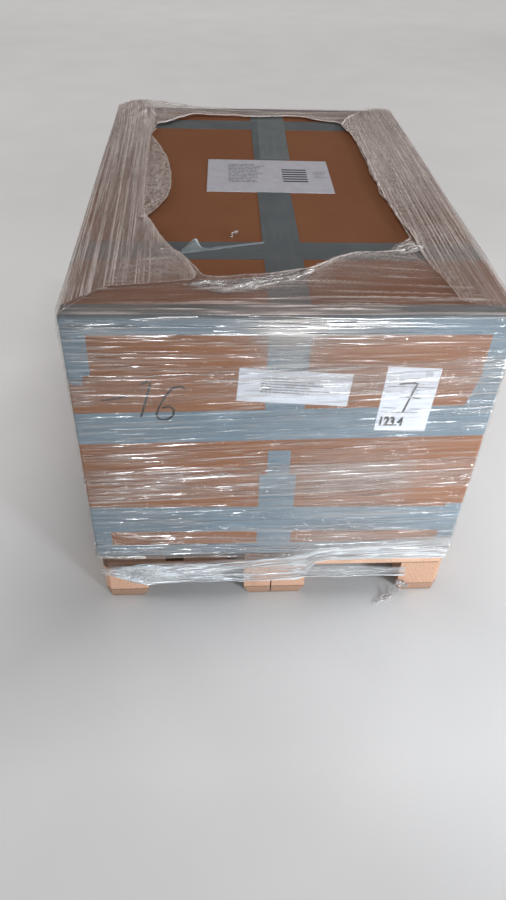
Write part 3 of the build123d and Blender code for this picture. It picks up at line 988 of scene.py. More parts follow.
def lapStreaks(facts, along, fan, spread):
    # Single hard folds that fan out as the lap's width does: each a bell curve across the lap, and along it
    # a run with tapered ends
    streaks = np.zeros(fan.shape)
    rng = np.random.default_rng(facts["seed"])
    for _ in range(facts["streaks"]):
        middle, level = rng.uniform(-0.1, 1.1), rng.uniform(0, 1.06)
        reach = rng.uniform(*lapFacts["streakReach"])
        thick, tall = rng.uniform(*lapFacts["streakWidth"]), rng.uniform(*lapFacts["streakHeight"])
        rows = np.nonzero(np.abs(along - middle) < reach / 2)[0]
        if len(rows) < 2:
            continue
        part = 2 * (along[rows] - middle) / reach
        bent = level + rng.normal(0, 0.006) * part
        offset = (fan[:, rows] - bent[None, :]) * spread[:, rows] / thick
        ridge = tall * (1 - part**2) ** 0.6 * np.exp(-(offset**2))
        streaks[:, rows] = np.maximum(streaks[:, rows], ridge)
    return streaks


def makeLap(side):
    # Lines of points from down the side in to the inner edge, with walked as how far in over the top each
    # point lies. Every line along the lap keeps to one fold, and the points past the inner edge are drawn
    # back to it and welded.
    facts = lapFacts[side]
    way = -1 if side == "left" else 1
    along = np.linspace(0, 1, lapFacts["rows"])
    line = np.array(facts["inner"]) * milli
    walk = walkedAlong(line)
    inner = smoothed(pointsAt(line, walk / walk[-1], along), 8, **oddEnds)
    outer = (cartonLow if side == "left" else cartonHigh)[0] + way * lapFacts["besideCarton"]
    ragged = 0.0030 * softNoise(along * 60, 0.5, facts["seed"] + 1)
    width = np.abs(inner[:, 0] - outer)[None, :] + ragged * (1 if side == "right" else 0.5)

    down = lapFacts["down"]
    folds = (facts["folds"][0] + (facts["folds"][1] - facts["folds"][0]) * along)[None, :]
    spread = folds + down
    widest = float(((width + down) / spread).max())
    columns = round(widest * (folds.mean() + down) / lapFacts["columnStep"])
    fan = np.minimum(np.linspace(0, widest, columns)[:, None], (width + down) / spread)
    walked = fan * spread - down                # below nought down the side, above it in over the top
    toEdge = width - walked
    rounding = lapFacts["rounding"]
    bend = np.clip((walked + rounding) / (2 * rounding), 0, 1) * math.pi / 2
    overTop = np.clip(walked - rounding, 0, None)
    sideways = np.clip(-walked - rounding, 0, None)
    x = outer - way * (rounding * (1 - np.cos(bend)) + overTop)
    z = cartonTop + lapFacts["overCarton"] - rounding * (1 - np.sin(bend)) - sideways
    # the front end runs aslant, and the rows close up towards it
    ends = np.array(facts["front"])
    order = np.argsort(ends[:, 0])
    start = np.interp(x, ends[order, 0], ends[order, 1])
    y = start + (lapFacts["back"] - start) * along[None, :]
    inShare = np.clip(walked / width, 0, 1)

    streaks = lapStreaks(facts, along, fan, spread)
    # a few broad soft folds follow the inner edge
    rim = bell(toEdge, 0, facts["rimFolds"]) * eased(inShare, 0.2, 0.6)
    drift = 2 * softNoise(y / 0.1, 0.5, facts["seed"] + 2)
    rimFolds = rim * (0.5 + 0.5 * np.sin(toEdge / facts["rimFolds"] * 7 + drift))
    patch = 0.5 + 0.5 * softNoise(y / 0.09, x / 0.05, facts["seed"] + 5)
    crumpled = facts["crumpled"] * (0.3 + 0.7 * patch) * (0.45 + 0.55 * eased(inShare, 0.45, 0.95))
    if side == "left":
        # a crumpled patch a little behind the lap's front end
        crumpled = crumpled + 0.9 * bell(x, -0.265, 0.055) * bell(y, -0.435, 0.045)
        crumpled = crumpled * eased(y - start, 0.0, 0.02)
    loose = eased(walked, -0.01, 0.03)
    waves = softNoise(y / 0.016, x / 0.012, facts["seed"] + 3)
    out = streaks + 0.0012 * crumpled * waves * loose + 0.0016 * rimFolds
    sway = lapFacts["lift"] * loose * (0.5 + 0.5 * softNoise(y / 0.12, x / 0.07, facts["seed"] + 6))
    rolled = bell(toEdge, 0, lapFacts["rim"])
    x = x + way * out * (1 - np.sin(bend))
    z = z + out * np.sin(bend) + sway + 0.0022 * rolled
    inside = creases(y / 0.11, fan * 26, facts["seed"] + 8, 0.5)       # faint folds between the strong ones
    gather = 0.03 + lapFacts["crestMilk"] * streaks + 0.17 * inside - 0.08 * (1 - loose)
    gather = gather + 0.28 * rim + 0.25 * rimFolds + 0.35 * rolled
    (backMilk, backSpan), (frontMilk, frontSpan) = facts["backMilk"], facts["frontMilk"]
    gather = gather + backMilk * eased(y, *backSpan) + frontMilk * eased(-y, *frontSpan)
    if side == "left":
        # a pale line along its front end
        gather = gather + 0.4 * bell(y, start, 0.004) * eased(x, -0.37, -0.30)
    else:
        # clearer at the front, and at the inner corner at the back
        gather = gather * (0.3 + 0.7 * eased(y, -0.44, -0.30))
        gather = gather * (1 - 0.9 * eased(inShare, 0.5, 0.95) * eased(y, 0.43, 0.56))
        crumpled = crumpled * (1 - eased(y, 0.44, 0.56))
    place = np.stack([x, y, z], axis=-1)
    if side == "left":
        # it lies over the tent that the top turn makes, milkier there and clearer at the inner corner behind
        place = raiseBunch(place, walked)
        place[..., 2] += 0.0004
        gather = gather + 0.25 * bunchShape(x, y)
        gather = gather * (1 - eased(inShare, 0.55, 0.95) * eased(y, 0.42, 0.58))
        crumpled = crumpled * (1 - eased(y, 0.40, 0.55))
    piece = gridPiece(
        f"film_lap_{side}",
        place,
        along=y,
        across=fan * 0.20,
        gather=gather,
        crumpled=crumpled,
        flip=side == "left",
    )
    weldTogether(piece)
    finishPiece(piece, lapFilm, "stretch_film")


flapFacts = {
    # the rim from the back to the front in millimetres, and the line that it folds out from
    "rim": [
        (-303, 345), (-285, 290), (-264, 216), (-246, 137), (-235, 36), (-234, -39), (-239, -98),
        (-251, -137), (-264, -175), (-284, -215),
    ],
    "root": -0.306,
    "rows": 70,
    "columns": 170,
    "overCarton": 0.0050,
    "arch": 0.0035,
    "paleRim": 0.0030,
}


def makeFlap():
    # A half round of crumpled film that lies out over the top from the left lap's edge, with a pale rim
    facts = flapFacts
    rim = np.array(facts["rim"]) * milli
    walk = walkedAlong(rim)
    at = np.linspace(0, walk[-1], facts["columns"])
    edge = smoothed(pointsAt(rim, walk, at), 8, **oddEnds)
    edge[:, 0] += 0.0016 * softNoise(at / 0.022, 0.5, 141)
    share = np.linspace(0, 1, facts["rows"])[:, None]
    x = facts["root"] + share * (np.maximum(edge[:, 0] - facts["root"], 0.002))[None, :]
    y = edge[None, :, 1] + 0 * share
    toRim = (1 - share) * (edge[:, 0] - facts["root"])[None, :]
    rolled = bell(toRim, 0, facts["paleRim"])
    waves = softNoise(x / 0.012, y / 0.018, 142)
    z = cartonTop + facts["overCarton"] + facts["arch"] * (1 - share**4)
    z = z + 0.0014 * waves * (1 - share**8) + 0.0022 * rolled
    shown = eased(x, facts["root"] + 0.002, facts["root"] + 0.02)
    piece = gridPiece(
        "film_flap", np.stack([x, y, z], axis=-1), along=y, across=x,
        gather=(0.12 + 0.75 * rolled) * shown, crumpled=shown * (1 - 0.3 * rolled),
    )
    finishPiece(piece, lapFilm, "stretch_film")


ropeFacts = {
    # the middle of the gathered edge in millimetres, with its width there
    "line": [
        (-196, -500, 4), (-172, -497, 22), (-128, -505, 50), (-79, -499, 50), (-45, -492, 48), (-8, -475, 42),
        (25, -457, 28), (55, -433, 16), (90, -401, 14), (134, -377, 14), (187, -375, 14), (215, -367, 16),
        (232, -352, 34), (250, -342, 54), (272, -334, 44), (290, -336, 12),
    ],
    "rows": 64,
    "columns": 330,
    "height": 0.0080,
    "overCarton": 0.0032,
    "foldHeight": 0.0034,
}


def makeRope():
    # Film drawn together along the edge of the open middle: a flattened roll, twisted and pinched
    table = np.array(ropeFacts["line"]) * milli
    steps = walkedAlong(table[:, :2])
    walk = np.linspace(0, steps[-1], ropeFacts["columns"])
    line = smoothed(pointsAt(table, steps, walk), 15, **oddEnds)
    ahead = np.gradient(line[:, :2], axis=0)
    ahead = ahead / np.linalg.norm(ahead, axis=1)[:, None]
    beside = np.stack([-ahead[:, 1], ahead[:, 0]], axis=1)
    share = np.linspace(-1, 1, ropeFacts["rows"])[:, None]
    wide = 0.5 * line[:, 2] * (1 + 0.20 * softNoise(walk / 0.022, 0.5, 151))
    level = share * wide / 0.0062
    folds = creases(walk / 0.055, level, 152, 0.5) + 0.6 * creases(walk / 0.020, level * 1.7 + 9, 153, 0.5)
    dome = np.sqrt(np.clip(1 - share**2, 0, 1))
    swollen = np.clip(line[:, 2] / 0.034, 0.4, 1.0) * (0.75 + 0.35 * softNoise(walk / 0.03, 0.5, 154))
    plane = line[None, :, :2] + beside[None] * (share * wide)[..., None]
    height = ropeFacts["height"] * swollen * dome
    height = height * (0.6 + 0.45 * softNoise(walk / 0.02, level * 0.6, 155))
    z = cartonTop + ropeFacts["overCarton"] + height + ropeFacts["foldHeight"] * folds * dome
    knotted = np.clip(line[:, 2] / 0.030, 0.3, 1)
    piece = gridPiece(
        "film_rope_front",
        raised(plane, z),
        along=walk,
        across=share * wide,
        gather=(0.16 + 0.9 * folds) * np.clip(dome * 1.8, 0, 1) * knotted,
        crumpled=dome * knotted,
    )
    finishPiece(piece, bunchedFilm, "stretch_film")


makeTopTurn()
makeRope()
makeLap("left")
makeLap("right")
makeFlap()
print("top turn laid")


# The loose turn over the pallet's front. Its upper edge leaves the lowest turn and dips to the left foot,
# and its folds run down to the left, where it is drawn together.

skirtFacts = {
    "left": -0.404,
    "right": 0.398,
    "columns": 300,
    "rows": 84,
    # points of its upper and its lower edge, x and height in millimetres
    "upper": [
        (-404, 100), (-385, 108), (-350, 113), (-290, 117), (-190, 122), (-90, 133), (20, 152), (130, 172),
        (260, 190), (398, 205),
    ],
    "lower": [
        (-404, 84), (-372, 66), (-330, 45), (-300, 39), (-180, 42), (-70, 43), (58, 48), (72, 56), (82, 84),
        (94, 108), (130, 118), (398, 117),
    ],
    "fold": 0.0040,
    "lump": (-0.315, 0.082),       # middle of the crumpled spot by the left foot
    "lumpReach": (0.045, 0.026),
    "ontoCarton": 0.0054,          # how much further out the carton's front with its tape lies
}


def throughPoints(values, x):
    # The height at x of the line through points given in millimetres
    table = np.array(values) * milli
    return np.interp(x, table[:, 0], table[:, 1])


def makeSkirt():
    # Each column runs from the lower edge to the upper one, so folds on a constant share of it fan out to the
    # right. The film lies on the carton's front above, comes in under it and lies on the pallet below.
    facts = skirtFacts
    x = np.linspace(facts["left"], facts["right"], facts["columns"])[None, :]
    share = np.linspace(0, 1, facts["rows"])[:, None]
    lower = throughPoints(facts["lower"], x) + 0.0015 * softNoise(x / 0.02, 0.5, 61)
    upper = throughPoints(facts["upper"], x) + 0.002 * softNoise(x / 0.03, 0.5, 62)
    z = lower + share * (upper - lower)
    step = eased(x, 0.05, 0.11)
    flow = share * (1 - 0.25 * step) + 0.25 * step
    broad = creases(x / 0.22, flow / 0.075, 63, 0.36)
    fine = creases(x / 0.09, flow / 0.034, 64, 0.40)
    lump = bell(x, facts["lump"][0], facts["lumpReach"][0]) * bell(z, facts["lump"][1], facts["lumpReach"][1])
    crinkle = creases(x / 0.012, z / 0.009, 65, 0.5) * np.clip(lump * 1.5, 0, 1)
    drawn = 0.35 + 0.65 * eased(-x, -0.12, 0.25)
    folds = broad + 0.7 * fine
    out = facts["fold"] * folds * drawn + 0.0015 * crinkle
    reachOut = facts["ontoCarton"] * eased(z, 0.112, 0.134)
    bow = 0.003 * np.sin(math.pi * np.clip((x + 0.30) / 0.2275, 0, 1))
    y = palletFront - 0.0006 - reachOut - out + bow * (1 - share)
    place = np.stack([x + 0 * z, y, z], axis=-1)
    gather = 0.04 + 1.6 * folds * (0.6 + 0.4 * drawn) + 0.40 * eased(x, -0.03, 0.12)
    gather = gather + (0.05 + 0.20 * eased(-x, 0.22, 0.30)) * (1 - eased(z, 0.100, 0.122))
    gather = gather * (0.15 + 0.85 * eased(x, -0.388, -0.335)) * (1 - 0.9 * eased(share, 0.75, 1.0))
    gather = gather + 0.25 * bell(share, 0, 0.04) + lump + 0.25 * crinkle
    crumpled = 1.3 * lump
    piece = gridPiece("film_loose_turn", place, along=x, across=flow * 0.09, gather=gather, crumpled=crumpled)
    finishPiece(piece, looseFilm, "stretch_film", "film_skirt")


strandFacts = {
    "top": 0.094,
    "bottom": 0.060,
    "bandRows": 22,
    "rollRows": 13,
    "columns": 130,
    "roll": 0.0021,
}


def makeStrand():
    # A narrow turn over the right pocket, whose lower edge is rolled: a flat band above, then a roll
    facts = strandFacts
    low, high = (np.array(corner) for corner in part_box("film_strand"))
    x = np.linspace(low[0] - 0.012, high[0], facts["columns"])[None, :]
    band = np.linspace(0, 1, facts["bandRows"])[:, None]
    top = facts["top"] + 0.003 * softNoise(x / 0.05, 0.5, 71) - 0.004 * eased(x, 0.1, 0.3)
    bottom = facts["bottom"] + 0.0015 * softNoise(x / 0.04, 0.5, 72)
    z = top + band * (bottom - top)
    folds = creases(x / 0.07, band / 0.22 + x * 3, 73, 0.5)
    y = palletFront - 0.0008 - 0.0016 * folds - 0.0006 * (1 + softNoise(x / 0.09, band * 3, 74))
    turn = np.linspace(0, 1.8 * math.pi, facts["rollRows"] + 1)[1:][:, None]
    radius = facts["roll"] * (1 + 0.4 * softNoise(x / 0.03, 0.5, 75))
    rollY = y[-1:] - radius * (1 - np.cos(turn))
    rollZ = z[-1:] - radius * np.sin(turn)
    y, z = np.concatenate([y, rollY]), np.concatenate([z, rollZ])
    place = np.stack([x + 0 * y, y, z], axis=-1)
    gather = np.concatenate([0.15 + 0.45 * folds, 0.8 + 0 * rollY])
    piece = gridPiece("film_narrow_turn", place, along=x, across=place[..., 2], gather=gather, flip=True)
    finishPiece(piece, looseFilm, "stretch_film", "film_strand")


def crumpledLump(name, middle, size, seed, rows=40, columns=64):
    # A ball of screwed-up film: a sphere whose radius follows creased noise, squashed to a size per axis
    polar = np.linspace(0, math.pi, rows)[:, None]
    around = np.linspace(0, 2 * math.pi, columns, endpoint=False)[None, :]
    steps = 16
    u, v = around * steps / (2 * math.pi), polar * 5
    ridges = creases(u, v, seed, 0.5, steps)
    radius = 0.72 + 0.30 * ridges + 0.16 * softNoise(u, v * 1.7, seed + 1, steps)
    # one radius at both poles, where all its columns meet
    radius = 0.8 + (radius - 0.8) * np.sin(polar)
    level = np.stack([np.sin(polar) * np.cos(around), np.sin(polar) * np.sin(around)], axis=-1)
    way = raised(level, np.cos(polar) + 0 * around)
    place = np.array(middle) + way * radius[..., None] * np.array(size)
    gather = 0.35 + 0.6 * ridges
    piece = gridPiece(name, place, closed=True, along=u * 0.004, across=v * 0.006, gather=gather, flip=True)
    weldTogether(piece)
    return piece


knotFacts = {
    # middle, half size and seed of each lump
    "lumps": [
        ((0.3095, -0.6085, 0.0320), (0.0105, 0.0070, 0.0085), 81),
        ((0.2985, -0.6095, 0.0405), (0.0085, 0.0060, 0.0070), 83),
        ((0.3190, -0.6080, 0.0235), (0.0080, 0.0060, 0.0065), 85),
    ],
    # two loose ends, each a line down from the knot and out over the floor, with its seed
    "ends": [
        (
            [
                (308, -608, 30), (303, -614, 18), (294, -620, 5), (279, -627, 1.5), (258, -634, 1.2),
                (238, -641, 1),
            ],
            91,
        ),
        ([(300, -609, 36), (289, -613, 26), (279, -618, 11), (270, -624, 3), (262, -631, 1)], 93),
    ],
    "endWidth": 0.013,
    "endRows": 24,
    "endColumns": 90,
}


def makeKnot():
    # Lumps of screwed-up film at the right foot, and two ends of it that lie out over the floor
    for number, (middle, size, seed) in enumerate(knotFacts["lumps"]):
        piece = crumpledLump(f"film_knot_{number + 1}", middle, size, seed)
        finishPiece(piece, bunchedFilm, "stretch_film")
    for number, (route, seed) in enumerate(knotFacts["ends"]):
        # a ribbon along its line, broader and rucked towards its tip
        route = np.array(route) * milli
        share = np.linspace(0, 1, knotFacts["endColumns"])
        line = smoothed(pointsAt(route, np.linspace(0, 1, len(route)), share), 7, mode="edge")
        ahead = np.gradient(line, axis=0)
        sideways = np.cross(ahead, (0, 0, 1.0))
        sideways = sideways / np.linalg.norm(sideways, axis=1)[:, None]
        over = np.linspace(-0.5, 0.5, knotFacts["endRows"])[:, None]
        wide = knotFacts["endWidth"] * (0.55 + 0.45 * eased(share, 0.1, 0.8))
        wide = wide * (1 + 0.25 * softNoise(share * 9, 0.5, seed))
        ruck = creases(share * 14, over * 3 + 0 * share, seed + 1, 0.5)
        place = line[None] + sideways[None] * (over * wide)[..., None]
        place[..., 2] += 0.0026 * ruck + 0.0008
        piece = gridPiece(
            f"film_loose_end_{number + 1}",
            place,
            along=share * 0.1,
            across=over * wide,
            gather=0.12 + 0.6 * ruck,
            flip=True,
        )
        replaced = ["film_tail"] if number == 0 else []
        finishPiece(piece, bunchedFilm, "stretch_film", *replaced)


makeSkirt()
makeStrand()
makeKnot()
print("loose turns hung")


# Flat print and pen marks: ribbons and bars a hair over the paper or the carton. Each lies on a plate given
# by its middle, its right and its up, and is drawn in millimetres on that plate.


hair = 0.00001      # each layer of ink lies a few of these over what is under it


def plateOf(node, turn):
    # the front face of a node on the carton's front, turned clockwise
    low, high = (np.array(corner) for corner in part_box(node))
    angle = math.radians(-turn)
    middle = np.array([(low[0] + high[0]) / 2, low[1] - 6 * hair, (low[2] + high[2]) / 2])
    right = np.array([math.cos(angle), 0, math.sin(angle)])
    return middle, right, np.array([-math.sin(angle), 0, math.cos(angle)])


def onPlate(plate, flat):
    # From x and y on a plate to points
    middle, right, up = plate
    return middle + flat[..., :1] * right + flat[..., 1:2] * up


def inkPiece(name, vertices, faces, material, slot):
    # A flat mesh of ink from its points and faces
    mesh = bpy.data.meshes.new(name)
    mesh.from_pydata(vertices, [], faces)
    finishPiece(addObject(name, mesh), material, slot)


def barsPiece(name, plate, bars):
    # bars are rows of left, bottom, right, top in millimetres from the plate's middle
    bars = np.array(bars) * milli
    corners = np.stack([bars[:, [0, 1]], bars[:, [2, 1]], bars[:, [2, 3]], bars[:, [0, 3]]], axis=1)
    faces = np.arange(len(bars) * 4).reshape(-1, 4).tolist()
    inkPiece(name, onPlate(plate, corners).reshape(-1, 3).tolist(), faces, printInk, "paper")


def greekedLines(left, top, pitch, lengths, height, seed):
    # Lines of made-up words: dashes as long as words are, broken as letters are
    rng = np.random.default_rng(seed)
    bars = []
    for number, length in enumerate(lengths):
        x, level = left, top - number * pitch
        while x < left + length:
            letters = rng.integers(2, 9)
            for _ in range(letters):
                wide = height * rng.uniform(0.45, 0.75)
                tall = height * rng.choice([1.0, 1.0, 0.72])
                bars.append((x, level - height, x + wide, level - height + tall))
                x += wide + 0.22 * height
            x += 0.6 * height
    return bars


def inkRibbon(name, plate, strokes, width, slot):
    # Pen strokes: each a smoothed line with a width that swells and thins, joined in one mesh. Each lies a
    # hair further out than the one before it.
    outward = np.cross(plate[1], plate[2])
    vertices, faces = [], []
    for number, stroke in enumerate(strokes):
        points = np.array(stroke, dtype=float)
        steps = walkedAlong(points)
        share = np.linspace(0, steps[-1], max(16, int(steps[-1] / 1.5)))
        line = smoothed(pointsAt(points, steps, share), 4, mode="edge")
        ahead = np.gradient(line, axis=0)
        ahead = ahead / np.maximum(np.linalg.norm(ahead, axis=1), 1e-9)[:, None]
        beside = np.stack([-ahead[:, 1], ahead[:, 0]], axis=1)
        ends = np.minimum(np.arange(len(line)), np.arange(len(line))[::-1])
        half = 0.5 * width * (0.86 + 0.2 * softNoise(share / 14, number + 0.5, 100)) * eased(ends, -1.5, 2.0)
        edges = np.stack([line - beside * half[:, None], line + beside * half[:, None]], axis=1) * milli
        place = onPlate(plate, edges) + hair * number * outward
        first = len(vertices) + 2 * np.arange(len(line) - 1)
        vertices += place.reshape(-1, 3).tolist()
        faces += np.stack([first, first + 2, first + 3, first + 1], axis=1).tolist()
    inkPiece(name, vertices, faces, markerInk, slot)


labelFacts = {
    "turns": {"address": 4.2, "weight": 2.65},       # degrees clockwise
    # in millimetres on the plate; blocks of words: left, top, pitch, lengths, height of the letters, seed
    "address": [(-63, 20, 6.3, (60, 97, 118, 84, 124, 88), 3.4, 110)],
    "weight": [
        (-44, 47, 14, (26, 24, 14), 2.4, 111),
        (2, 40, 7.5, (18, 40, 12, 12), 2.4, 112),
        (-44, -18, 7.5, (22,), 2.4, 113),
        (10, -19, 7.5, (16,), 2.4, 114),
        (-44, -28, 7, (70,), 2.4, 115),
    ],
    # a small box with a bar in it, as left, bottom, right, top
    "box": [(23, 57, 35, 58), (23, 66, 35, 67), (23, 58, 24, 66), (34, 58, 35, 66), (26, 61, 32, 63)],
    "numeral": [[(-24, 36), (0, 41), (12, 42)], [(12, 42), (5, 10), (-3, -30)], [(-18, 5), (4, 8), (25, 5)]],
    "penWidth": 4.6,
    "figures": "123.4",
    "figureSize": 0.028,     # this and the rest in metres
    "figureWeight": 0.0013,  # how much broader its lines are drawn
    "figureStretch": (0.80, 1.05),
    "figurePlace": (-0.047, -0.062),
}


def makeFigures(plate):
    # The printed figures, as flat lettering laid on the plate
    facts = labelFacts
    letters = bpy.data.curves.new("digits", "FONT")
    letters.body = facts["figures"]
    letters.size = facts["figureSize"]
    letters.offset = facts["figureWeight"]
    stamped = addObject("digits", letters)
    mesh = bpy.data.meshes.new_from_object(stamped.evaluated_get(bpy.context.evaluated_depsgraph_get()))
    bpy.data.objects.remove(stamped)
    flat = np.empty(len(mesh.vertices) * 3)
    mesh.vertices.foreach_get("co", flat)
    flat = flat.reshape(-1, 3)[:, :2] * facts["figureStretch"] + facts["figurePlace"]
    mesh.vertices.foreach_set("co", onPlate(plate, flat).ravel())
    finishPiece(addObject("weight_figures", mesh), markerInk, "paper")


def makePrint():
    # Words on both labels, and on the weight label also a box, a pen numeral and figures
    plates = {kind: plateOf(f"{kind}_label", turn) for kind, turn in labelFacts["turns"].items()}
    for kind, plate in plates.items():
        bars = [bar for block in labelFacts[kind] for bar in greekedLines(*block)]
        barsPiece(f"{kind}_print", plate, bars + (labelFacts["box"] if kind == "weight" else []))
    inkRibbon("weight_numeral", plates["weight"], labelFacts["numeral"], labelFacts["penWidth"], "paper")
    makeFigures(plates["weight"])


markerFacts = {
    # a dash and two plain numerals, in millimetres on the carton's front
    "dash": [(-352, 588), (-338, 588.5), (-320, 592), (-301, 597)],
    "sevenTop": [(-277, 622), (-262, 630), (-257, 628)],
    "sevenFoot": [(-257, 628), (-266, 596), (-274, 566), (-281, 545)],
    "six": [
        (-193, 612), (-203, 619), (-217, 615), (-232, 596), (-245, 570), (-251, 552), (-246, 541),
        (-232, 540), (-219, 550), (-217, 565), (-226, 573), (-240, 568),
    ],
}


def makeMarker():
    # Marker pen on the carton's front, a little further out than the middle band
    level = float(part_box("mid_band_tape")[0][1]) - 10 * hair
    plate = (np.array([0, level, 0]), np.array([1.0, 0, 0]), np.array([0, 0, 1.0]))
    inkRibbon("marker_numerals", plate, list(markerFacts.values()), labelFacts["penWidth"], "cardboard")


sheetFacts = {
    "turn": -1.2,                  # degrees; blocks of words as on the labels
    "words": (-98, 74, 9.6, (60, 70, 66, 72, 52, 70, 72, 64, 70, 70, 48, 66, 60), 3.6, 160),
    "besideBlock": (108, 30, 9, (26, 22, 24, 18, 20), 2.4, 161),
    "block": (32, 36, 92, 43),     # left, bottom, right and top of its first bar
    "blockBars": 6,
    "blockPitch": 15,
}


def makeSheetPrint():
    # The loose sheet on the top: lines of words left of its middle, and a ruled block right of it
    facts = sheetFacts
    low, high = (np.array(corner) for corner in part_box("top_sheet"))
    middle = np.array([(low[0] + high[0]) / 2, (low[1] + high[1]) / 2, high[2] + 8 * hair])
    angle = math.radians(facts["turn"])
    right = np.array([math.cos(angle), math.sin(angle), 0])
    plate = middle, right, np.array([-right[1], right[0], 0])
    bars = greekedLines(*facts["words"]) + greekedLines(*facts["besideBlock"])
    left, bottom, rightEdge, top = facts["block"]
    for row in range(facts["blockBars"]):
        down = facts["blockPitch"] * row
        bars.append((left, bottom - down, rightEdge, top - down))
    barsPiece("sheet_print", plate, bars)


liftedFacts = {
    # ends of the line that it hinges on
    "left": (-0.204, -0.371),
    "right": (-0.036, -0.319),
    "columns": 130,
    "rows": 36,
    "paleRows": 9,           # rows of faces along the rim that show the glued side
    "peak": 0.12,            # where along the hinge it curls up highest
    "low": 0.0024,           # how high it stands at the right
    "slope": 0.0022,         # how much more at the left
    "high": 0.012,           # and how much more at the peak
    "curl": 1.9,             # radians that it bends through
    "thickness": 0.0004,
}


def makeLiftedTape():
    # The left half of the front cross tape has let go at its back. Its edge stands up along a slanting line,
    # low at the right and curled up high at the left, with its pale glued side showing along the rim.
    facts = liftedFacts
    tapeTop = float(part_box("cross_tape_front")[1][2])
    along = np.linspace(0, 1, facts["columns"])[None, :]
    share = np.linspace(0, 1, facts["rows"])[:, None]
    x, hinge = (start + along * (end - start) for start, end in zip(facts["left"], facts["right"]))
    tall = facts["low"] + facts["slope"] * (1 - along) + facts["high"] * bell(along, facts["peak"], 0.09)
    lean = 0.5 + 1.3 * bell(along, facts["peak"], 0.12)
    bend = share * facts["curl"]
    y = hinge + tall * (share * 0.5 + lean * 0.6 * (1 - np.cos(bend)))
    z = tapeTop + 0.0002 + tall * np.sin(bend) + 0.0005 * softNoise(along * 14, share * 2, 171) * share
    slip = 0.010 * bell(along, 0.1, 0.1) * share
    piece = gridPiece("cross_tape_lifted_edge", np.stack([x + slip, y, z], axis=-1))
    firstPale = (facts["rows"] - 1 - facts["paleRows"]) * (facts["columns"] - 1)
    finishPiece(piece, tapeNewer, "grey_tape", second=tapeGlue, firstFaces=firstPale)
    solidify = piece.modifiers.new("thickness", "SOLIDIFY")
    solidify.thickness = facts["thickness"]
    solidify.offset = 1


scrapFacts = {
    "start": (-0.105, -0.292),
    "run": (0.016, 0.024),
    "columns": 60,
    "rows": 16,
    "width": 0.011,
    "ruck": 0.004,
}


def makeScrap():
    # A curled shred of film beside the tape: a ribbon that runs aslant, broadest at its middle
    share = np.linspace(0, 1, scrapFacts["columns"])[None, :]
    over = np.linspace(-0.5, 0.5, scrapFacts["rows"])[:, None]
    x, y = (start + run * share for start, run in zip(scrapFacts["start"], scrapFacts["run"]))
    x = x + 0.004 * np.sin(share * 9)
    y = y + over * scrapFacts["width"] * (0.5 + share * (1 - share) * 2)
    z = cartonTop + 0.0012 + 0.001 * share
    z = z + scrapFacts["ruck"] * creases(share * 7, over * 2 + 0.3, 172, 0.6)
    place = np.stack([x + 0 * y, y, z], axis=-1)
    gather = 0.35 + 0.6 * creases(share * 9, over * 3, 173, 0.5)
    piece = gridPiece("film_scrap", place, gather=gather, along=share * 0.03, across=over * 0.01)
    finishPiece(piece, bunchedFilm, "stretch_film")


makePrint()
makeSheetPrint()
makeMarker()
makeLiftedTape()
makeScrap()
print("labels printed")


# The stage: a pale floor, soft lights and the camera at the photograph's angle

cameraFacts = {
    "place": (-0.146, -1.673, 1.394),
    "tilt": 41.01,           # degrees down from level
    "turn": -4.39,
    "roll": 2.29,
    "focal": 710.5,          # in pixels of a frame 900 high
    "frameHeight": 900,
}
lightSpread = {"rightKey": 42}       # degrees; the others shine all round
lightFacts = [
    # name, place, what it looks at, width and height, watts, tint
    ("leftStrip", (-0.62, -4.7, 0.85), (0, 0, 0.4), (0.70, 0.34), 24, (0.80, 0.90, 1.0)),
    ("middleStrip", (0.02, -4.7, 0.85), (0, 0, 0.4), (0.26, 0.34), 10, (0.80, 0.90, 1.0)),
    ("rightStrip", (1.25, -4.6, 0.85), (0, 0, 0.4), (1.25, 0.34), 36, (0.80, 0.90, 1.0)),
    ("rightKey", (1.80, -2.6, 1.05), (0.55, -0.6, 0.40), (0.6, 0.6), 4.8, (0.86, 0.93, 1.0)),
    ("rightFill", (3.0, 0.0, 1.4), (0.4, 0.0, 0.4), (1.2, 1.2), 22, (0.94, 0.97, 1.0)),
    ("leftFill", (-3.0, 0.0, 1.4), (-0.4, 0.0, 0.4), (1.2, 1.2), 16, (0.97, 0.98, 1.0)),
    ("overhead", (0.2, -0.3, 3.6), (0, 0, 0.7), (1.2, 0.9), 16, (1.0, 0.92, 0.94)),
    ("backLeft", (-3.2, 3.4, 2.7), (0, 0, 0.4), (1.6, 1.6), 24, (1.0, 0.99, 0.97)),
    ("backRight", (3.2, 3.4, 2.7), (0, 0, 0.4), (1.6, 1.6), 24, (1.0, 0.99, 0.97)),
]


roomFacts = {
    "floorSide": 40.0,       # half of it
    "floor": (colour(236, 235, 233), colour(231, 230, 228)),
    "standing": (0.38, 0.58),            # half of the pallet's width and length, nearly
    "glowNear": (-0.03, 0.45, 0.26),     # metres from the pallet, and how strong
    "glowFar": (1.2, 6.0, 0.30),
    "air": (0.98, 0.97, 1.0, 1),
    "airStrength": 0.075,
}


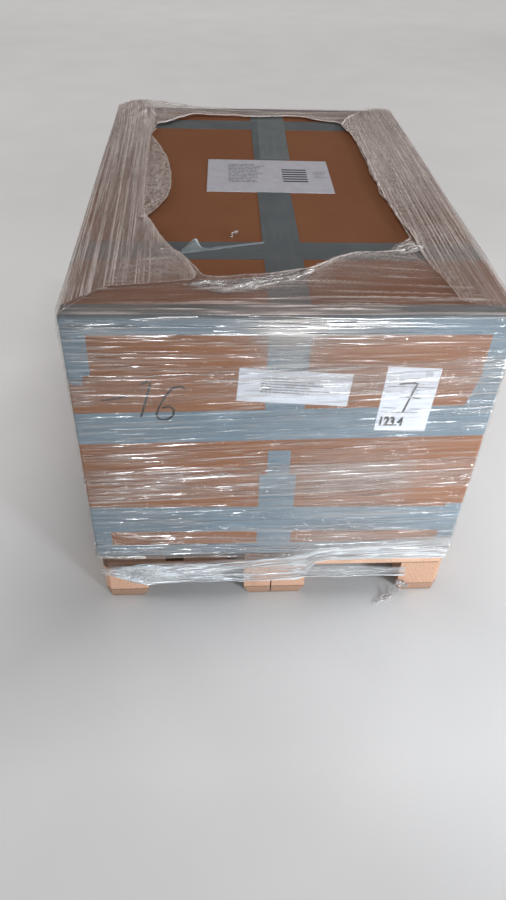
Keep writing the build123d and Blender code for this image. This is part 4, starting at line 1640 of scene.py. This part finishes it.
def makeFloor():
    # A wide plane, faintly mottled
    side = roomFacts["floorSide"]
    corners = [[[-side, -side, 0], [side, -side, 0]], [[-side, side, 0], [side, side, 0]]]
    floor = gridPiece("floor", np.array(corners))
    material, tree = newTree("paleFloor")
    mottle = patches(tree, objectPlace(tree), 3, 4, 0.5, 0.3, 0.7)
    tone = blendColours(tree, mottle, *roomFacts["floor"])
    # painted light: the floor glows to the eye, in mirrors and through the film, so it looks paler than the
    # light that it gives off
    path = addNode(tree, "ShaderNodeLightPath").outputs
    seen = sums(tree, "MAXIMUM", path["Is Camera Ray"], path["Is Glossy Ray"])
    seen = sums(tree, "MAXIMUM", seen, path["Is Transmission Ray"])
    # the glow fades under the pallet and close by it, a painted shadow round its foot
    axes = objectAxes(tree)
    beside = [
        sums(tree, "SUBTRACT", sums(tree, "ABSOLUTE", axes[axis]), half)
        for axis, half in zip("XY", roomFacts["standing"])
    ]
    away = sums(tree, "MAXIMUM", *beside)
    near, far = (
        ramp(tree, away, start, end, 0.0, strength)
        for start, end, strength in (roomFacts["glowNear"], roomFacts["glowFar"])
    )
    glow = sums(tree, "MULTIPLY", seen, sums(tree, "ADD", near, far))
    surface(tree, Base_Color=tone, Roughness=0.7, Emission_Color=tone, Emission_Strength=glow)
    floor.data.materials.append(material)


def makeLights():
    # Lamps that are rectangles turned to their targets, and dim light from all round
    for name, place, target, size, power, tint in lightFacts:
        light = bpy.data.lights.new(name, "AREA")
        light.shape = "RECTANGLE"
        light.size, light.size_y = size
        light.energy = power
        light.color = tint
        light.spread = math.radians(lightSpread.get(name, 180))
        lamp = addObject(name, light)
        lamp.location = place
        lamp.rotation_euler = (Vector(target) - Vector(place)).to_track_quat("-Z", "Y").to_euler()
    world = bpy.data.worlds.new("room")
    world.use_nodes = True
    background = world.node_tree.nodes["Background"].inputs
    background["Color"].default_value = roomFacts["air"]
    background["Strength"].default_value = roomFacts["airStrength"]
    bpy.context.scene.world = world


def makeCamera():
    # Turned about the upright, tilted down and rolled about its own view, in that order
    lens = bpy.data.cameras.new("camera")
    lens.sensor_width = 36.0
    lens.lens = cameraFacts["focal"] / cameraFacts["frameHeight"] * lens.sensor_width
    camera = addObject("camera", lens)
    aim = Matrix.Rotation(math.radians(cameraFacts["turn"]), 4, "Z")
    aim = aim @ Matrix.Rotation(math.radians(90 - cameraFacts["tilt"]), 4, "X")
    aim = aim @ Matrix.Rotation(math.radians(cameraFacts["roll"]), 4, "Z")
    camera.matrix_world = Matrix.Translation(cameraFacts["place"]) @ aim
    bpy.context.scene.camera = camera


makeFloor()
makeLights()
makeCamera()
bpy.context.scene.view_settings.view_transform = "Standard"
bpy.context.scene.cycles.transparent_max_bounces = 16
print("stage set")
